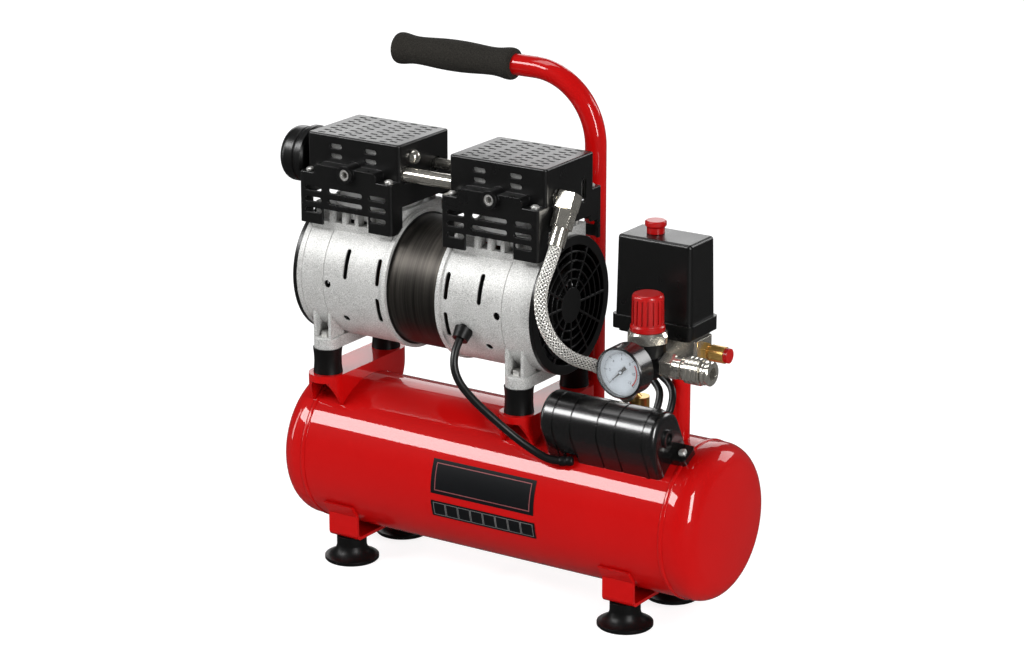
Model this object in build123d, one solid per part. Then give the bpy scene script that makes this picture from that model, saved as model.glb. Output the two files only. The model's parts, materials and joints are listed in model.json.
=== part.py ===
from build123d import *

import os
from math import atan, atan2, cos, degrees, pi, radians, sin, sqrt, tan

# Portable air compressor: a twin-cylinder oil-free pump on a small horizontal tank.
# Millimetres. X runs along the tank towards the air outlet, -Y is the front, Z is up from the floor.
# Pieces are modelled about the middle of the tank and moved to the part's own origin when written.
# Names that end in RISE are heights above the piece that carries the other one.

# Clearances
WELD_GAP = 0.1
SLIP = 0.05
RUN = 0.3
WALL_ROOM = 1.6
BOLT_ROOM = 0.2

# Tank
TANK_R = 69.0
TANK_WALL = 2.0
TANK_STRAIGHT = 388.4
HEAD_FLANGE = 10.0
KNUCKLE_R = 20.0
CROWN_R = 400.0
SEAM = (3.0, 0.6)
BUNG_R = 10.0
BUNG_H = 4.0
PORT_R = 5.0

# Feet and their brackets
FOOT_HEIGHT = 22.4
FOOT_FLANGE_R = 24.5
FOOT_NECK_R = 13.5
FOOT_RECESS_R = 9.0
FOOT_Y = 40.0
BRACKET_X = (-153.5, 135.3)
BRACKET_WIDTH = 31.0
BRACKET_THICK = 3.0
BRACKET_HALF = 53.0
BRACKET_BEND = 6.0
BRACKET_TAB_TOP = 57.0
FOOT_BOLT_R = 3.0
FOOT_BOLT_FLATS = 10.0
FOOT_BOLT_HEAD = 4.0
FOOT_NUT = 5.0

# Pump mounting
MOTOR_X = -72.0
MOUNT_SPACING_X = 203.0
MOUNT_SPACING_Y = 89.0
SADDLE_RISE = 11.5
SADDLE_THICK = 2.5
SADDLE_WIDTH = 33.0
SADDLE_LENGTH = 124.8
SADDLE_FLANGE_HALF = 46.0
SADDLE_LIP = 4.0
RUBBER_R = 13.2
RUBBER_WAIST = 0.9
RUBBER_HEIGHT = 23.0
BOSS_R = 12.0
BOSS_HEIGHT = 10.6
BOSS_ROUND = 1.2
FOOT_RIB = 3.0
FOOT_RIB_X = 6.5
FOOT_RIB_REACH = 7.5
MOUNT_BOLT_R = 3.0
MOUNT_BOLT_FLATS = 10.0
MOUNT_BOLT_HEAD = 4.0
MOUNT_NUT = 5.0

# Motor and crankcases, measured along X from the middle of the motor
MOTOR_RISE = 54.3
CASE_R = 60.5
CASE_WALL = 5.5
CASE_START = 26.4
CASE_END = 122.0
CASE_FLANGE_R = 62.3
CASE_FLANGE = 4.0
CASE_LIP_R = 61.0
CASE_LIP = 5.0
PARTING = 93.4
PARTING_LINE = 0.5
STATOR_R = 57.5
STATOR_SEAT = 8.0
AIR_GAP = 0.6
ROTOR_R = 32.4
WINDING_R = (37.0, 52.0)
WINDING_LENGTH = 12.6
SHAFT_R = 7.5
SHAFT_HALF = 116.0
BEARING_R = 16.0
BEARING_WIDTH = 9.0
BEARING_START = 58.0
HUB_R = 21.0
WEB = 4.0
WEB_WINDOWS = 6
CYLINDER_OFFSET = 75.2
CRANK_THROW = 6.0
ECCENTRIC_R = 15.0
ECCENTRIC_WIDTH = 12.0
BALANCE_R = 30.0
BALANCE_WIDTH = 6.0
SLOT_WIDTH = 4.6
VENT_SLOTS = ((70.3, 18.6, 27.0), (36.0, 16.4, 24.0), (36.0, -17.2, 24.0))
VENT_HOLES = ((88.9, -0.9), (75.4, -32.7))
VENT_HOLE_R = 3.5
GLAND_OFFSET = 53.9
GLAND_ANGLE = -18.6

# Fans and fan covers
FAN_R = 49.0
FAN_HUB_R = 13.0
FAN_WIDTH = 13.0
FAN_START = 102.0
FAN_BLADES = 9
FAN_BLADE = 1.8
FAN_PITCH = 32.0
COVER_RIM_R = 61.0
COVER_RIM = 6.5
COVER_THICK = 4.0
COVER_LIP = 8.0
COVER_LIP_WALL = 2.2
GRILLE_HUB_R = 15.5
GRILLE_SPOKES = 12
GRILLE_SPOKE = 2.0
GRILLE_RINGS = (23.5, 31.5, 39.5, 47.5)
GRILLE_RING = 1.4
GRILLE_THICK = 3.0

# Cylinders, pistons and heads
BORE_R = 31.85
SLEEVE_WALL = 2.65
SLEEVE_FLANGE_R = 38.5
SLEEVE_FLANGE = 4.0
NECK_HALF_X = 43.0
NECK_HALF_Y = 35.0
NECK_RISE = 65.1
NECK_RIBS = (-21.0, -7.5, 6.0, 19.5)
NECK_RIB = 4.0
NECK_RIB_DEPTH = 7.0
WINDOW_RISE = 50.0
WINDOW_BAND = 4.0
SLEEVE_DROP = 12.0
SLEEVE_RISE = 21.0
ROD_SEAT_R = 27.5
ROD_RING_WALL = 5.0
ROD_WIDTH = 13.0
ROD_SHANK = (11.0, 18.0)
PISTON_CLEAR = 0.45
PISTON_THICK = 10.0
CUP_CLEAR = 0.25
CUP_THICK = 4.0
TOP_CLEAR = 1.0
PLATE_THICK = 4.0
PLATE_PORT_R = 4.0
HEAD_BASE = 14.0
HEAD_FIN_HEIGHT = 16.0
HEAD_FINS = 8
HEAD_FIN = 2.6
HEAD_FIN_HALF_X = 31.0
HEAD_FIN_HALF_Y = 33.0
HEAD_BOLT_X = 37.0
HEAD_BOLT_Y = 29.0
HEAD_BOLT_R = 2.5
HEAD_BOLT_FLATS = 8.0
HEAD_BOLT_HEAD = 3.5
HEAD_BOLT_BITE = 10.0

# Plastic head covers
HOOD_LENGTH = 98.3
HOOD_WIDTH = 76.8
HOOD_RISE = 127.6
HOOD_WALL = 2.5
HOOD_ROUND = 3.5
SKIRT_WIDTH = 102.4
LEDGE_RISE = 95.1
SKIRT_RISE = 49.1
SKIRT_RETURN = 17.0
SKIRT_LIP = 6.0
SKIRT_ROOM = 1.5
SIDE_RISE = 72.1
SKIRT_ROUND = 3.0
NOTCH_HALF = 24.7
NOTCH_RISE = 63.6
SHOULDER_HALF = 33.0
SHOULDER_RISE = 103.1
SHOULDER_ROUND = 4.0
EYE_R = 8.2
EYE_BORE_R = 5.0
EYE_RISE = 98.3
EYE_PROUD = 4.0
EYE_OFFSET = 2.0
HOOD_SLOT = 4.4
HOOD_SLOT_LENGTH = 13.0
HOOD_SLOT_X = 18.4
HOOD_SLOT_RISE = (109.1, 117.9)
SKIRT_SLOT_RISE = (61.1, 70.9, 80.7)
SKIRT_SLOT_X = 34.3
SKIRT_SLOT_SIDE = 18.0
SKIRT_SLOT_CENTRE = 36.5
TOP_SLOT_X = (-32.7, -10.9, 10.9, 32.7)
TOP_SLOT_ROWS = 8
TOP_SLOT_PITCH = 8.8
TOP_SLOT_SPLIT = 4.2
TOP_SLOT = (7.0, 2.6)
WALL_SLOT = (22.0, 97.0, 22.0, 8.0)
COVER_SCREW_X = 42.0
COVER_SCREW_Y = 44.0
COVER_SCREW_R = 1.6
COVER_SCREW_HEAD_R = 3.8
COVER_SCREW_HEAD = 2.4
COVER_SCREW_LENGTH = 12.0
EAR_R = 4.0
LUG_SCREW = 4.5
EAR_DEPTH = 10.0

# Pipes, filter and hose
PIPE_RISE = 100.1
FRONT_PIPE = (-28.0, 6.5)
REAR_PIPE = (19.0, 5.0)
PIPE_WALL = 1.2
PLUG_Y = -17.5
PLUG_RISE = 113.6
PLUG_R = 3.8
PLUG_HEAD_R = 6.5
PLUG_BOSS = 5.5
FILTER_Y = -10.0
FILTER_DROP = 2.0
FILTER_NECK_R = 9.0
FILTER_NECK = 15.0
FILTER_RIM_R = 27.0
FILTER_RIM = 6.5
FILTER_R = 24.8
FILTER_LENGTH = 21.5
FILTER_ROUND = 8.0
FILTER_WALL = 2.0
FILTER_HOLES = 8
ELBOW_REACH = 16.8
ELBOW_Y = -20.0
ELBOW_RISE = 97.6
ELBOW_SIZE = 16.0
ELBOW_TILT = 30.0
NIPPLE_R = 6.0
HOSE_NUT_FLATS = 17.0
HOSE_NUT = 16.0
FERRULE_R = 7.4
FERRULE = 16.0
HOSE_R = 5.8
HOSE_LEAD_IN = 13.3
CHECK_VALVE_X = 124.0
CHECK_VALVE_FLATS = 19.0
CHECK_VALVE_HEX = 12.0
CHECK_VALVE_R = 8.0
CHECK_VALVE_RISE = 30.5
CHECK_INLET_RISE = 23.5
CHECK_INLET_WAY = (0.52, 0.48, -0.71)
CHECK_INLET_LENGTH = 30.0

# Handle
HANDLE_X = 33.0
HANDLE_TUBE_R = 9.5
HANDLE_WALL = 1.5
HANDLE_BEND_R = 62.5
HANDLE_RISE = 184.7
HANDLE_FOOT_RISE = 11.5
GRIP_START = -50.0
GRIP_LENGTH = 126.0
GRIP_END_R = 14.5
GRIP_NECK_R = 12.2
GRIP_CAP = 3.0

# Drain under the tank
DRAIN_X = 0.0
DRAIN_TURN = 26.0
DRAIN_FLATS = 14.0
DRAIN_BODY = 9.0
DRAIN_SCREW_R = 6.5
DRAIN_SCREW = 5.5
DRAIN_STEM_R = 3.0

# Pressure switch and manifold
POST_X = 164.0
POST_R = 8.0
POST_BORE_R = 5.0
POST_RISE = 68.5
MANIFOLD_X = (150.0, 186.0)
MANIFOLD_HALF_Y = 14.0
MANIFOLD_RISE = 92.5
OUTLET_RISE = 81.0
SWITCH_X = 147.0
SWITCH_LIP = (78.0, 47.0, 12.0)
SWITCH_STEP = (70.0, 40.0, 3.0)
SWITCH_COVER = (74.0, 43.0, 69.0)
SWITCH_TAPER = 1.5
SWITCH_WALL = 2.2
SWITCH_CORNER = 5.0
SWITCH_EDGE = 3.0
KNOB_X = 137.0
KNOB_R = 9.2
KNOB_NECK_R = 7.6
KNOB_HEIGHT = 11.0
KNOB_STEM_R = 4.0
KNOB_STEM = 14.0
SWITCH_GLAND_X = (126.0, 141.0)
SWITCH_GLAND_Y = -11.0
SWITCH_GLAND_R = 6.8
SWITCH_GLAND = 10.0

# Regulator, gauge, coupler and safety valve
REGULATOR_X = 160.0
REGULATOR_Y = -50.0
REGULATOR_R = 16.0
REGULATOR_WAIST_R = 11.5
REGULATOR_RISE = 67.5
REGULATOR_SHOULDER_RISE = 87.5
REGULATOR_TOP_RISE = 99.5
ARM_R = 9.0
COLLAR_FLATS = 33.0
COLLAR = 9.0
DIAL_KNOB_R = 14.6
DIAL_KNOB_TOP_R = 13.3
DIAL_KNOB_HEIGHT = 31.5
DIAL_KNOB_RIBS = 18
DIAL_KNOB_ROUND = 3.0
DIAL_KNOB_GROOVE = 0.9
SPINDLE_R = 5.0
GAUGE_RISE = 83.0
GAUGE_R = 22.0
GAUGE_DEPTH = 21.0
GAUGE_BACK_Y = -75.0
GAUGE_WALL = 1.8
GAUGE_STEM_R = 6.0
GAUGE_DIAL = 0.8
GAUGE_WELL = 3.6
LENS_THICK = 1.5
NEEDLE_LENGTH = 14.5
NEEDLE_TAIL = 6.5
NEEDLE_THICK = 0.6
NEEDLE_BOSS_R = 2.0
NEEDLE_ZERO = 225.0
COUPLER_HEX = (11.0, 19.0)
COUPLER_BODY = (7.0, 9.6)
COUPLER_CORE_R = 8.0
COUPLER_TRAVEL = 4.0
COUPLER_SLEEVE = (15.0, 11.6)
COUPLER_RING = (8.0, 10.4)
COUPLER_BORE_R = 5.2
COUPLER_BORE = 20.0
SLEEVE_GROOVES = 3
SAFETY_FLATS = 14.0
SAFETY_HEX = 4.5
SAFETY_NECK = (3.0, 5.0)
SAFETY_BODY = (13.0, 7.2)
SAFETY_CAP = (3.6, 6.4)
SAFETY_STEM = (8.0, 2.5)

# Capacitor box on the tank's shoulder
BOX_X = (62.0, 176.0)
BOX_TILT = 27.0
BOX_HALF = 23.0
BOX_HEIGHT = 50.0
BOX_WALL = 2.2
BOX_SINK = 3.3
BOX_GROOVES = (13.0, 31.0, 57.0, 75.0)
BOX_GROOVE = (1.6, 0.9)
BOX_NOTCH = (20.0, 11.0, 9.0)
BOX_BEAD = (99.2, 2.8, 0.8)
BOX_LUG = (20.0, 20.0, 9.0)
BOX_LUG_ROUND = 4.0
BOX_BOSS = (8.0, 1.8, 5.2)
BOX_ROUND = 5.0
CAPACITOR_LENGTH = 90.0

# Leads
LEAD_R = 3.5
LEAD_IN = 15.0
GLAND_R = 8.5
GLAND_BORE_R = 3.6
GLAND_REACH = 10.0
GLAND_DIP = 45.0
SWITCH_LEAD_R = 3.2
SWITCH_LEAD_IN = 12.0

# Places worked out from the driving sizes
plate_top = FOOT_HEIGHT + BRACKET_THICK
tank_z = plate_top + WELD_GAP + TANK_R
tank_half = TANK_STRAIGHT / 2
shell_half = tank_half - HEAD_FLANGE
tank_top = tank_z + TANK_R
saddle_x = (MOTOR_X - MOUNT_SPACING_X / 2, MOTOR_X + MOUNT_SPACING_X / 2)
mount_y = MOUNT_SPACING_Y / 2
saddle_top = tank_top + SADDLE_RISE
rubber_top = saddle_top + RUBBER_HEIGHT
boss_top = rubber_top + BOSS_HEIGHT
motor_z = boss_top + MOTOR_RISE
case_bore = CASE_R - CASE_WALL
stator_half = CASE_START + STATOR_SEAT
cover_face = CASE_END + COVER_THICK
cylinder_x = (MOTOR_X - CYLINDER_OFFSET, MOTOR_X + CYLINDER_OFFSET)
neck_top = motor_z + NECK_RISE
window_low = motor_z + WINDOW_RISE
sleeve_r = BORE_R + SLEEVE_WALL
sleeve_top = neck_top + SLEEVE_RISE
plate_z = sleeve_top + PLATE_THICK
head_base_top = plate_z + HEAD_BASE
head_top = head_base_top + HEAD_FIN_HEIGHT
hood_top = motor_z + HOOD_RISE
hood_inner_y = HOOD_WIDTH / 2 - HOOD_WALL
skirt_y = SKIRT_WIDTH / 2
skirt_ledge = motor_z + LEDGE_RISE
skirt_bottom = motor_z + SKIRT_RISE
side_bottom = motor_z + SIDE_RISE
notch_top = motor_z + NOTCH_RISE
shoulder_top = motor_z + SHOULDER_RISE
ledge_under = skirt_ledge - HOOD_WALL
eye_z = motor_z + EYE_RISE
eye_y = -skirt_y - EYE_PROUD
pipe_z = motor_z + PIPE_RISE
pipe_ends = (cylinder_x[0] + NECK_HALF_X, cylinder_x[1] - NECK_HALF_X)
plug_z = motor_z + PLUG_RISE
filter_z = pipe_z - FILTER_DROP
filter_face = cylinder_x[0] - NECK_HALF_X
filter_end = filter_face - FILTER_NECK - FILTER_RIM - FILTER_LENGTH
elbow_face = cylinder_x[1] + NECK_HALF_X
elbow_x = elbow_face + ELBOW_REACH
elbow_z = motor_z + ELBOW_RISE
hose_down = Vector(0, -sin(radians(ELBOW_TILT)), -cos(radians(ELBOW_TILT)))
elbow = Vector(elbow_x, ELBOW_Y, elbow_z)
nut_start = elbow + hose_down * (ELBOW_SIZE / 2)
nut_end = nut_start + hose_down * HOSE_NUT
hose_start = nut_end + hose_down * FERRULE
check_valve_top = tank_top + CHECK_VALVE_RISE
check_inlet_z = tank_top + CHECK_INLET_RISE
valve_inlet = Vector(CHECK_VALVE_X, 0, check_inlet_z)
inlet_way = Vector(*CHECK_INLET_WAY).normalized()
hose_end = valve_inlet - inlet_way * CHECK_INLET_LENGTH
inlet_nut = hose_end + inlet_way * (FERRULE * 0.6)
inlet_face = inlet_nut + inlet_way * (HOSE_NUT * 0.6)
handle_y = SADDLE_LENGTH / 2 + WELD_GAP + HANDLE_TUBE_R
handle_z = motor_z + HANDLE_RISE
handle_foot_z = tank_z + HANDLE_FOOT_RISE
post_top = tank_top + POST_RISE
manifold_top = tank_top + MANIFOLD_RISE
outlet_z = tank_top + OUTLET_RISE
lip_bottom = manifold_top + SWITCH_STEP[2]
lip_top = lip_bottom + SWITCH_LIP[2]
switch_top = lip_top + SWITCH_COVER[2]
regulator_bottom = tank_top + REGULATOR_RISE
regulator_shoulder = tank_top + REGULATOR_SHOULDER_RISE
regulator_top = tank_top + REGULATOR_TOP_RISE
collar_top = regulator_top + COLLAR
arm_end = REGULATOR_X + REGULATOR_R + 1
inlet_end = REGULATOR_Y + REGULATOR_R + 1
coupler_ring_x = arm_end + COUPLER_HEX[0] + COUPLER_BODY[0] + COUPLER_TRAVEL + COUPLER_SLEEVE[0] + 2 * RUN
coupler_end = coupler_ring_x + COUPLER_RING[0]
safety_x = MANIFOLD_X[1]
safety_body_x = safety_x + SAFETY_HEX + SAFETY_NECK[0]
safety_end = safety_body_x + SAFETY_BODY[0]
gauge_z = tank_top + GAUGE_RISE
gauge_front = GAUGE_BACK_Y - GAUGE_DEPTH
dial_face = GAUGE_DEPTH - GAUGE_WELL - LENS_THICK
box_normal = (-sin(radians(BOX_TILT)), cos(radians(BOX_TILT)))
box_across = (cos(radians(BOX_TILT)), sin(radians(BOX_TILT)))
box_base = ((TANK_R - BOX_SINK) * box_normal[0], tank_z + (TANK_R - BOX_SINK) * box_normal[1])
box_arc = BOX_HEIGHT - BOX_HALF
drain_seat = TANK_R + BUNG_H
drain_low = drain_seat + DRAIN_BODY
foot_seat = FOOT_HEIGHT * 0.4

# The part's origin: under the middle of the whole object's box, on the floor
to_frame = Pos(
    -(filter_end + coupler_end) / 2,
    -(gauge_front + handle_y + GRIP_END_R) / 2,
    0,
)


def bar(start, end, radius):
    """Round bar between two points."""
    axis = Vector(end) - Vector(start)
    return extrude(Plane(start, z_dir=axis) * Circle(radius), axis.length)


def pipe(start, end, radius, bore):
    """Round bar with a through bore."""
    return bar(start, end, radius) - bar(start, end, bore)


def hex_bar(start, end, flats):
    """Hexagon bar between two points, sized across its flats."""
    axis = Vector(end) - Vector(start)
    outline = RegularPolygon(flats / 2, 6, major_radius=False)
    return extrude(Plane(start, z_dir=axis) * outline, axis.length)


def block(x_range, y_range, z_range):
    """Box between limits along X, Y and Z."""
    limits = (x_range, y_range, z_range)
    middle = [(low + high) / 2 for low, high in limits]
    return Pos(*middle) * Box(*[high - low for low, high in limits])


def turned(outline, base, axis=(0, 0, 1)):
    """Body of revolution: outline holds (radius, height) pairs, its axis starts at base."""
    face = make_face(Polyline(*[(radius, 0, height) for radius, height in outline], close=True))
    return Plane(base, z_dir=axis) * revolve(face, Axis.Z)


def along_motor(offset, y=0.0, z=0.0):
    """Point at an offset along the motor's axis from the middle of the motor."""
    return (MOTOR_X + offset, y, motor_z + z)


def left_twin(solid):
    """The same piece at the left end of the motor."""
    return mirror(solid, about=Plane.YZ.offset(MOTOR_X))


def tank_cylinder(radius):
    """Long cylinder on the tank's axis, used to cope pieces that are welded to it."""
    return bar((-tank_half, 0, tank_z), (tank_half, 0, tank_z), radius)


def group(solids):
    """Separate solids kept in one node."""
    return Compound(children=[item for part in solids for item in part.solids()])


def drain_at(reach):
    """Point on the drain's axis, so far from the tank's axis: down and a little to the back."""
    turn = radians(DRAIN_TURN)
    return (DRAIN_X, reach * sin(turn), tank_z - reach * cos(turn))


def tank_shell():
    """Rolled shell with bungs for the check valve and the drain."""
    shell = pipe((-shell_half, 0, tank_z), (shell_half, 0, tank_z), TANK_R, TANK_R - TANK_WALL)
    bungs = bar((CHECK_VALVE_X, 0, tank_top - TANK_WALL), (CHECK_VALVE_X, 0, tank_top + BUNG_H), BUNG_R)
    bungs += bar(drain_at(TANK_R - TANK_WALL), drain_at(drain_seat), BUNG_R)
    bungs -= tank_cylinder(TANK_R - TANK_WALL / 2)
    ports = bar((CHECK_VALVE_X, 0, tank_z), (CHECK_VALVE_X, 0, tank_top + 2 * BUNG_H), PORT_R)
    ports += bar((POST_X, 0, tank_z), (POST_X, 0, tank_top + BUNG_H), POST_BORE_R)
    ports += bar(drain_at(0), drain_at(drain_seat + BUNG_H), DRAIN_STEM_R + BOLT_ROOM)
    return shell + bungs - ports


def dish(inset):
    """Solid dished end, its skin moved inwards by inset; the outer skin starts with a joggle."""
    radius, knuckle, crown = TANK_R - inset, KNUCKLE_R - inset, CROWN_R - inset
    knuckle_z = TANK_R - KNUCKLE_R
    crown_x = tank_half - sqrt((CROWN_R - KNUCKLE_R) ** 2 - knuckle_z**2)
    meet = atan2(knuckle_z, tank_half - crown_x)
    half_turn = (radians(90) + meet) / 2
    joggle, depth = SEAM if inset == 0 else (TANK_WALL, 0.0)

    def on_knuckle(angle):
        return (tank_half + knuckle * cos(angle), 0, knuckle_z + knuckle * sin(angle))

    def on_crown(angle):
        return (crown_x + crown * cos(angle), 0, crown * sin(angle))

    skin = Polyline(
        on_crown(0), (shell_half, 0, 0), (shell_half, 0, radius - depth), (shell_half + joggle, 0, radius)
    )
    edge = Line(skin @ 1, on_knuckle(radians(90)))
    bend = ThreePointArc(on_knuckle(radians(90)), on_knuckle(half_turn), on_knuckle(meet))
    face = ThreePointArc(on_crown(meet), on_crown(meet / 2), on_crown(0))
    return Pos(0, 0, tank_z) * revolve(make_face(skin + edge + bend + face), Axis.X)


def tank_heads():
    right = dish(0) - dish(TANK_WALL)
    return group([right, mirror(right, about=Plane.YZ)])


def foot_brackets():
    """Two strips bent round the underside of the tank."""
    inner, outer = TANK_R + WELD_GAP, TANK_R + WELD_GAP + BRACKET_THICK

    def legs(half, low, bend):
        tall = tank_z - low
        return Pos(0, low + tall / 2) * fillet_low(Rectangle(2 * half, tall), bend)

    def fillet_low(outline, radius):
        return fillet(outline.vertices().group_by(Axis.Y)[0], radius)

    middle = Pos(0, tank_z)
    strip = legs(BRACKET_HALF, FOOT_HEIGHT, BRACKET_BEND) + middle * Circle(outer)
    strip -= legs(BRACKET_HALF - BRACKET_THICK, plate_top, BRACKET_BEND - BRACKET_THICK)
    strip -= middle * Circle(inner)
    strip &= Pos(0, BRACKET_TAB_TOP / 2) * Rectangle(4 * TANK_R, BRACKET_TAB_TOP)
    brackets = []
    for x in BRACKET_X:
        bracket = extrude(Plane.YZ.offset(x - BRACKET_WIDTH / 2) * strip, BRACKET_WIDTH)
        for y in (-FOOT_Y, FOOT_Y):
            bracket -= bar((x, y, 0), (x, y, tank_z), FOOT_BOLT_R + BOLT_ROOM)
        brackets.append(bracket)
    return group(brackets)


def feet_places():
    return [(x, y) for x in BRACKET_X for y in (-FOOT_Y, FOOT_Y)]


def rubber_feet():
    """Flared rubber feet with a recess for the bolt's head."""
    hole = FOOT_BOLT_R + BOLT_ROOM
    neck_low, rim_top = FOOT_HEIGHT * 0.62, FOOT_HEIGHT * 0.16
    inside = Polyline(
        (FOOT_NECK_R, 0, neck_low),
        (FOOT_NECK_R, 0, FOOT_HEIGHT),
        (hole, 0, FOOT_HEIGHT),
        (hole, 0, foot_seat),
        (FOOT_RECESS_R, 0, foot_seat),
        (FOOT_RECESS_R, 0, rim_top),
        (FOOT_FLANGE_R * 0.68, 0, 0),
        (FOOT_FLANGE_R - 1, 0, 0),
        (FOOT_FLANGE_R, 0, 1),
        (FOOT_FLANGE_R, 0, rim_top),
    )
    flare_mid = (FOOT_NECK_R + (FOOT_FLANGE_R - FOOT_NECK_R) * 0.28, 0, (neck_low + rim_top) * 0.43)
    flare = ThreePointArc((FOOT_FLANGE_R, 0, rim_top), flare_mid, (FOOT_NECK_R, 0, neck_low))
    foot = revolve(make_face(inside + flare), Axis.Z)
    return group([Pos(x, y, 0) * foot for x, y in feet_places()])


def foot_bolts():
    pieces = []
    for x, y in feet_places():
        low, high = foot_seat - FOOT_BOLT_HEAD, plate_top + FOOT_NUT
        pieces.append(
            hex_bar((x, y, low), (x, y, foot_seat), FOOT_BOLT_FLATS)
            + bar((x, y, foot_seat), (x, y, high + 2), FOOT_BOLT_R)
        )
        nut = hex_bar((x, y, plate_top), (x, y, high), FOOT_BOLT_FLATS)
        pieces.append(nut - bar((x, y, plate_top), (x, y, high), FOOT_BOLT_R + SLIP))
    return group(pieces)


def mount_places():
    return [(x, y) for x in saddle_x for y in (-mount_y, mount_y)]


def mount_saddles():
    """Pressed channels with round tips; their walls run down to the tank and die out at the tips."""
    half, tip = SADDLE_WIDTH / 2, SADDLE_LENGTH / 2
    under = saddle_top - SADDLE_THICK
    low = tank_z + sqrt(TANK_R**2 - SADDLE_FLANGE_HALF**2) - BUNG_H
    lip = under - SADDLE_LIP
    outline = Rot(0, 0, 90) * SlotOverall(SADDLE_LENGTH, SADDLE_WIDTH)
    inside = Rot(0, 0, 90) * SlotOverall(SADDLE_LENGTH - 2 * SADDLE_THICK, SADDLE_WIDTH - 2 * SADDLE_THICK)
    sloped = make_face(
        Polyline(
            (SADDLE_FLANGE_HALF, low - 1),
            (SADDLE_FLANGE_HALF, low + BUNG_H),
            (tip - SADDLE_LIP, lip),
            (tip + 1, lip),
            (tip + 1, low - 1),
            close=True,
        )
    )
    saddles = []
    for x in saddle_x:
        saddle = extrude(Plane((x, 0, low)) * outline, saddle_top - low)
        saddle -= extrude(Plane((x, 0, low)) * inside, under - low)
        end = extrude(Plane.YZ.offset(x - half - 1) * sloped, SADDLE_WIDTH + 2)
        saddle -= end
        saddle -= mirror(end, about=Plane.XZ)
        saddle -= tank_cylinder(TANK_R + WELD_GAP)
        for y in (-mount_y, mount_y):
            saddle -= bar((x, y, low), (x, y, saddle_top + 1), MOUNT_BOLT_R + BOLT_ROOM)
        saddles.append(saddle)
    return group(saddles)


def rubber_mounts():
    """Rubber cylinders, a little drawn in at the waist."""
    hole = MOUNT_BOLT_R + BOLT_ROOM
    waist = ThreePointArc(
        (RUBBER_R, 0, 0), (RUBBER_R - RUBBER_WAIST, 0, RUBBER_HEIGHT / 2), (RUBBER_R, 0, RUBBER_HEIGHT)
    )
    rest = Polyline((RUBBER_R, 0, RUBBER_HEIGHT), (hole, 0, RUBBER_HEIGHT), (hole, 0, 0), (RUBBER_R, 0, 0))
    mount = revolve(make_face(waist + rest), Axis.Z)
    return group([Pos(x, y, saddle_top) * mount for x, y in mount_places()])


def head_bolt_places():
    return [
        (x + dx, dy)
        for x in cylinder_x
        for dx in (-HEAD_BOLT_X, HEAD_BOLT_X)
        for dy in (-HEAD_BOLT_Y, HEAD_BOLT_Y)
    ]


def pump_bolts():
    """Bolts and nuts through the rubber mounts, and the bolts that clamp the two heads."""
    pieces = []
    under = saddle_top - SADDLE_THICK
    for x, y in mount_places():
        head = hex_bar((x, y, boss_top), (x, y, boss_top + MOUNT_BOLT_HEAD), MOUNT_BOLT_FLATS)
        shank = bar((x, y, under - MOUNT_NUT - 2), (x, y, boss_top), MOUNT_BOLT_R)
        nut = hex_bar((x, y, under - MOUNT_NUT), (x, y, under), MOUNT_BOLT_FLATS)
        pieces += [head + shank, nut - bar((x, y, under - MOUNT_NUT), (x, y, under), MOUNT_BOLT_R + SLIP)]
    for x, y in head_bolt_places():
        head = hex_bar((x, y, head_base_top), (x, y, head_base_top + HEAD_BOLT_HEAD), HEAD_BOLT_FLATS)
        pieces.append(head + bar((x, y, neck_top - HEAD_BOLT_BITE), (x, y, head_base_top), HEAD_BOLT_R))
    return group(pieces)


def radial_plane(offset, angle, radius, side):
    """Plane on the motor's skin, facing outwards; the angle rises from the horizontal."""
    out = Vector(0, side * cos(radians(angle)), sin(radians(angle)))
    start = Vector(along_motor(offset)) + out * radius
    return Plane(start, x_dir=Vector(1, 0, 0).cross(out), z_dir=out)


def gland_plane():
    """Plane of the motor lead's gland, dipped below the horizontal."""
    out = Vector(0, -cos(radians(GLAND_DIP)), -sin(radians(GLAND_DIP)))
    skin = radial_plane(GLAND_OFFSET, GLAND_ANGLE, CASE_R, -1).origin
    return Plane(skin, z_dir=out)


def cylinder_neck(x):
    """Plinth and windowed wall that carry one cylinder."""
    wide = (x - NECK_HALF_X, x + NECK_HALF_X)
    wall_y = NECK_HALF_Y + NECK_RIB_DEPTH
    neck = block(wide, (-NECK_HALF_Y, NECK_HALF_Y), (motor_z, neck_top))
    neck += block(wide, (-wall_y, wall_y), (motor_z, window_low))
    ribs_x = (x + NECK_RIBS[0], x + NECK_RIBS[-1] + NECK_RIB)
    neck += block(ribs_x, (-wall_y, wall_y), (motor_z, neck_top - HOOD_WALL))
    for left, right in zip(NECK_RIBS, NECK_RIBS[1:]):
        window_x = (x + left + NECK_RIB, x + right)
        neck -= block(window_x, (-wall_y - 1, wall_y + 1), (window_low, neck_top - WINDOW_BAND))
    return neck


def foot_bosses(x):
    """Round feet at the ends of a cross bar, each with two ribs up to the barrel."""
    feet = block((x - BOSS_R + 1, x + BOSS_R - 1), (-mount_y, mount_y), (rubber_top, boss_top))
    profile = (
        (0, 0),
        (BOSS_R, 0),
        (BOSS_R, BOSS_HEIGHT - BOSS_ROUND),
        (BOSS_R - BOSS_ROUND, BOSS_HEIGHT),
        (0, BOSS_HEIGHT),
    )
    for side in (-1, 1):
        y = side * mount_y
        feet += turned(profile, (x, y, rubber_top))
        reach = sorted((y - side * BOSS_R, y + side * FOOT_RIB_REACH))
        for edge in (x - FOOT_RIB_X - FOOT_RIB, x + FOOT_RIB_X):
            feet += block((edge, edge + FOOT_RIB), reach, (boss_top - 2, motor_z - CASE_R / 2))
    return feet


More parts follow.
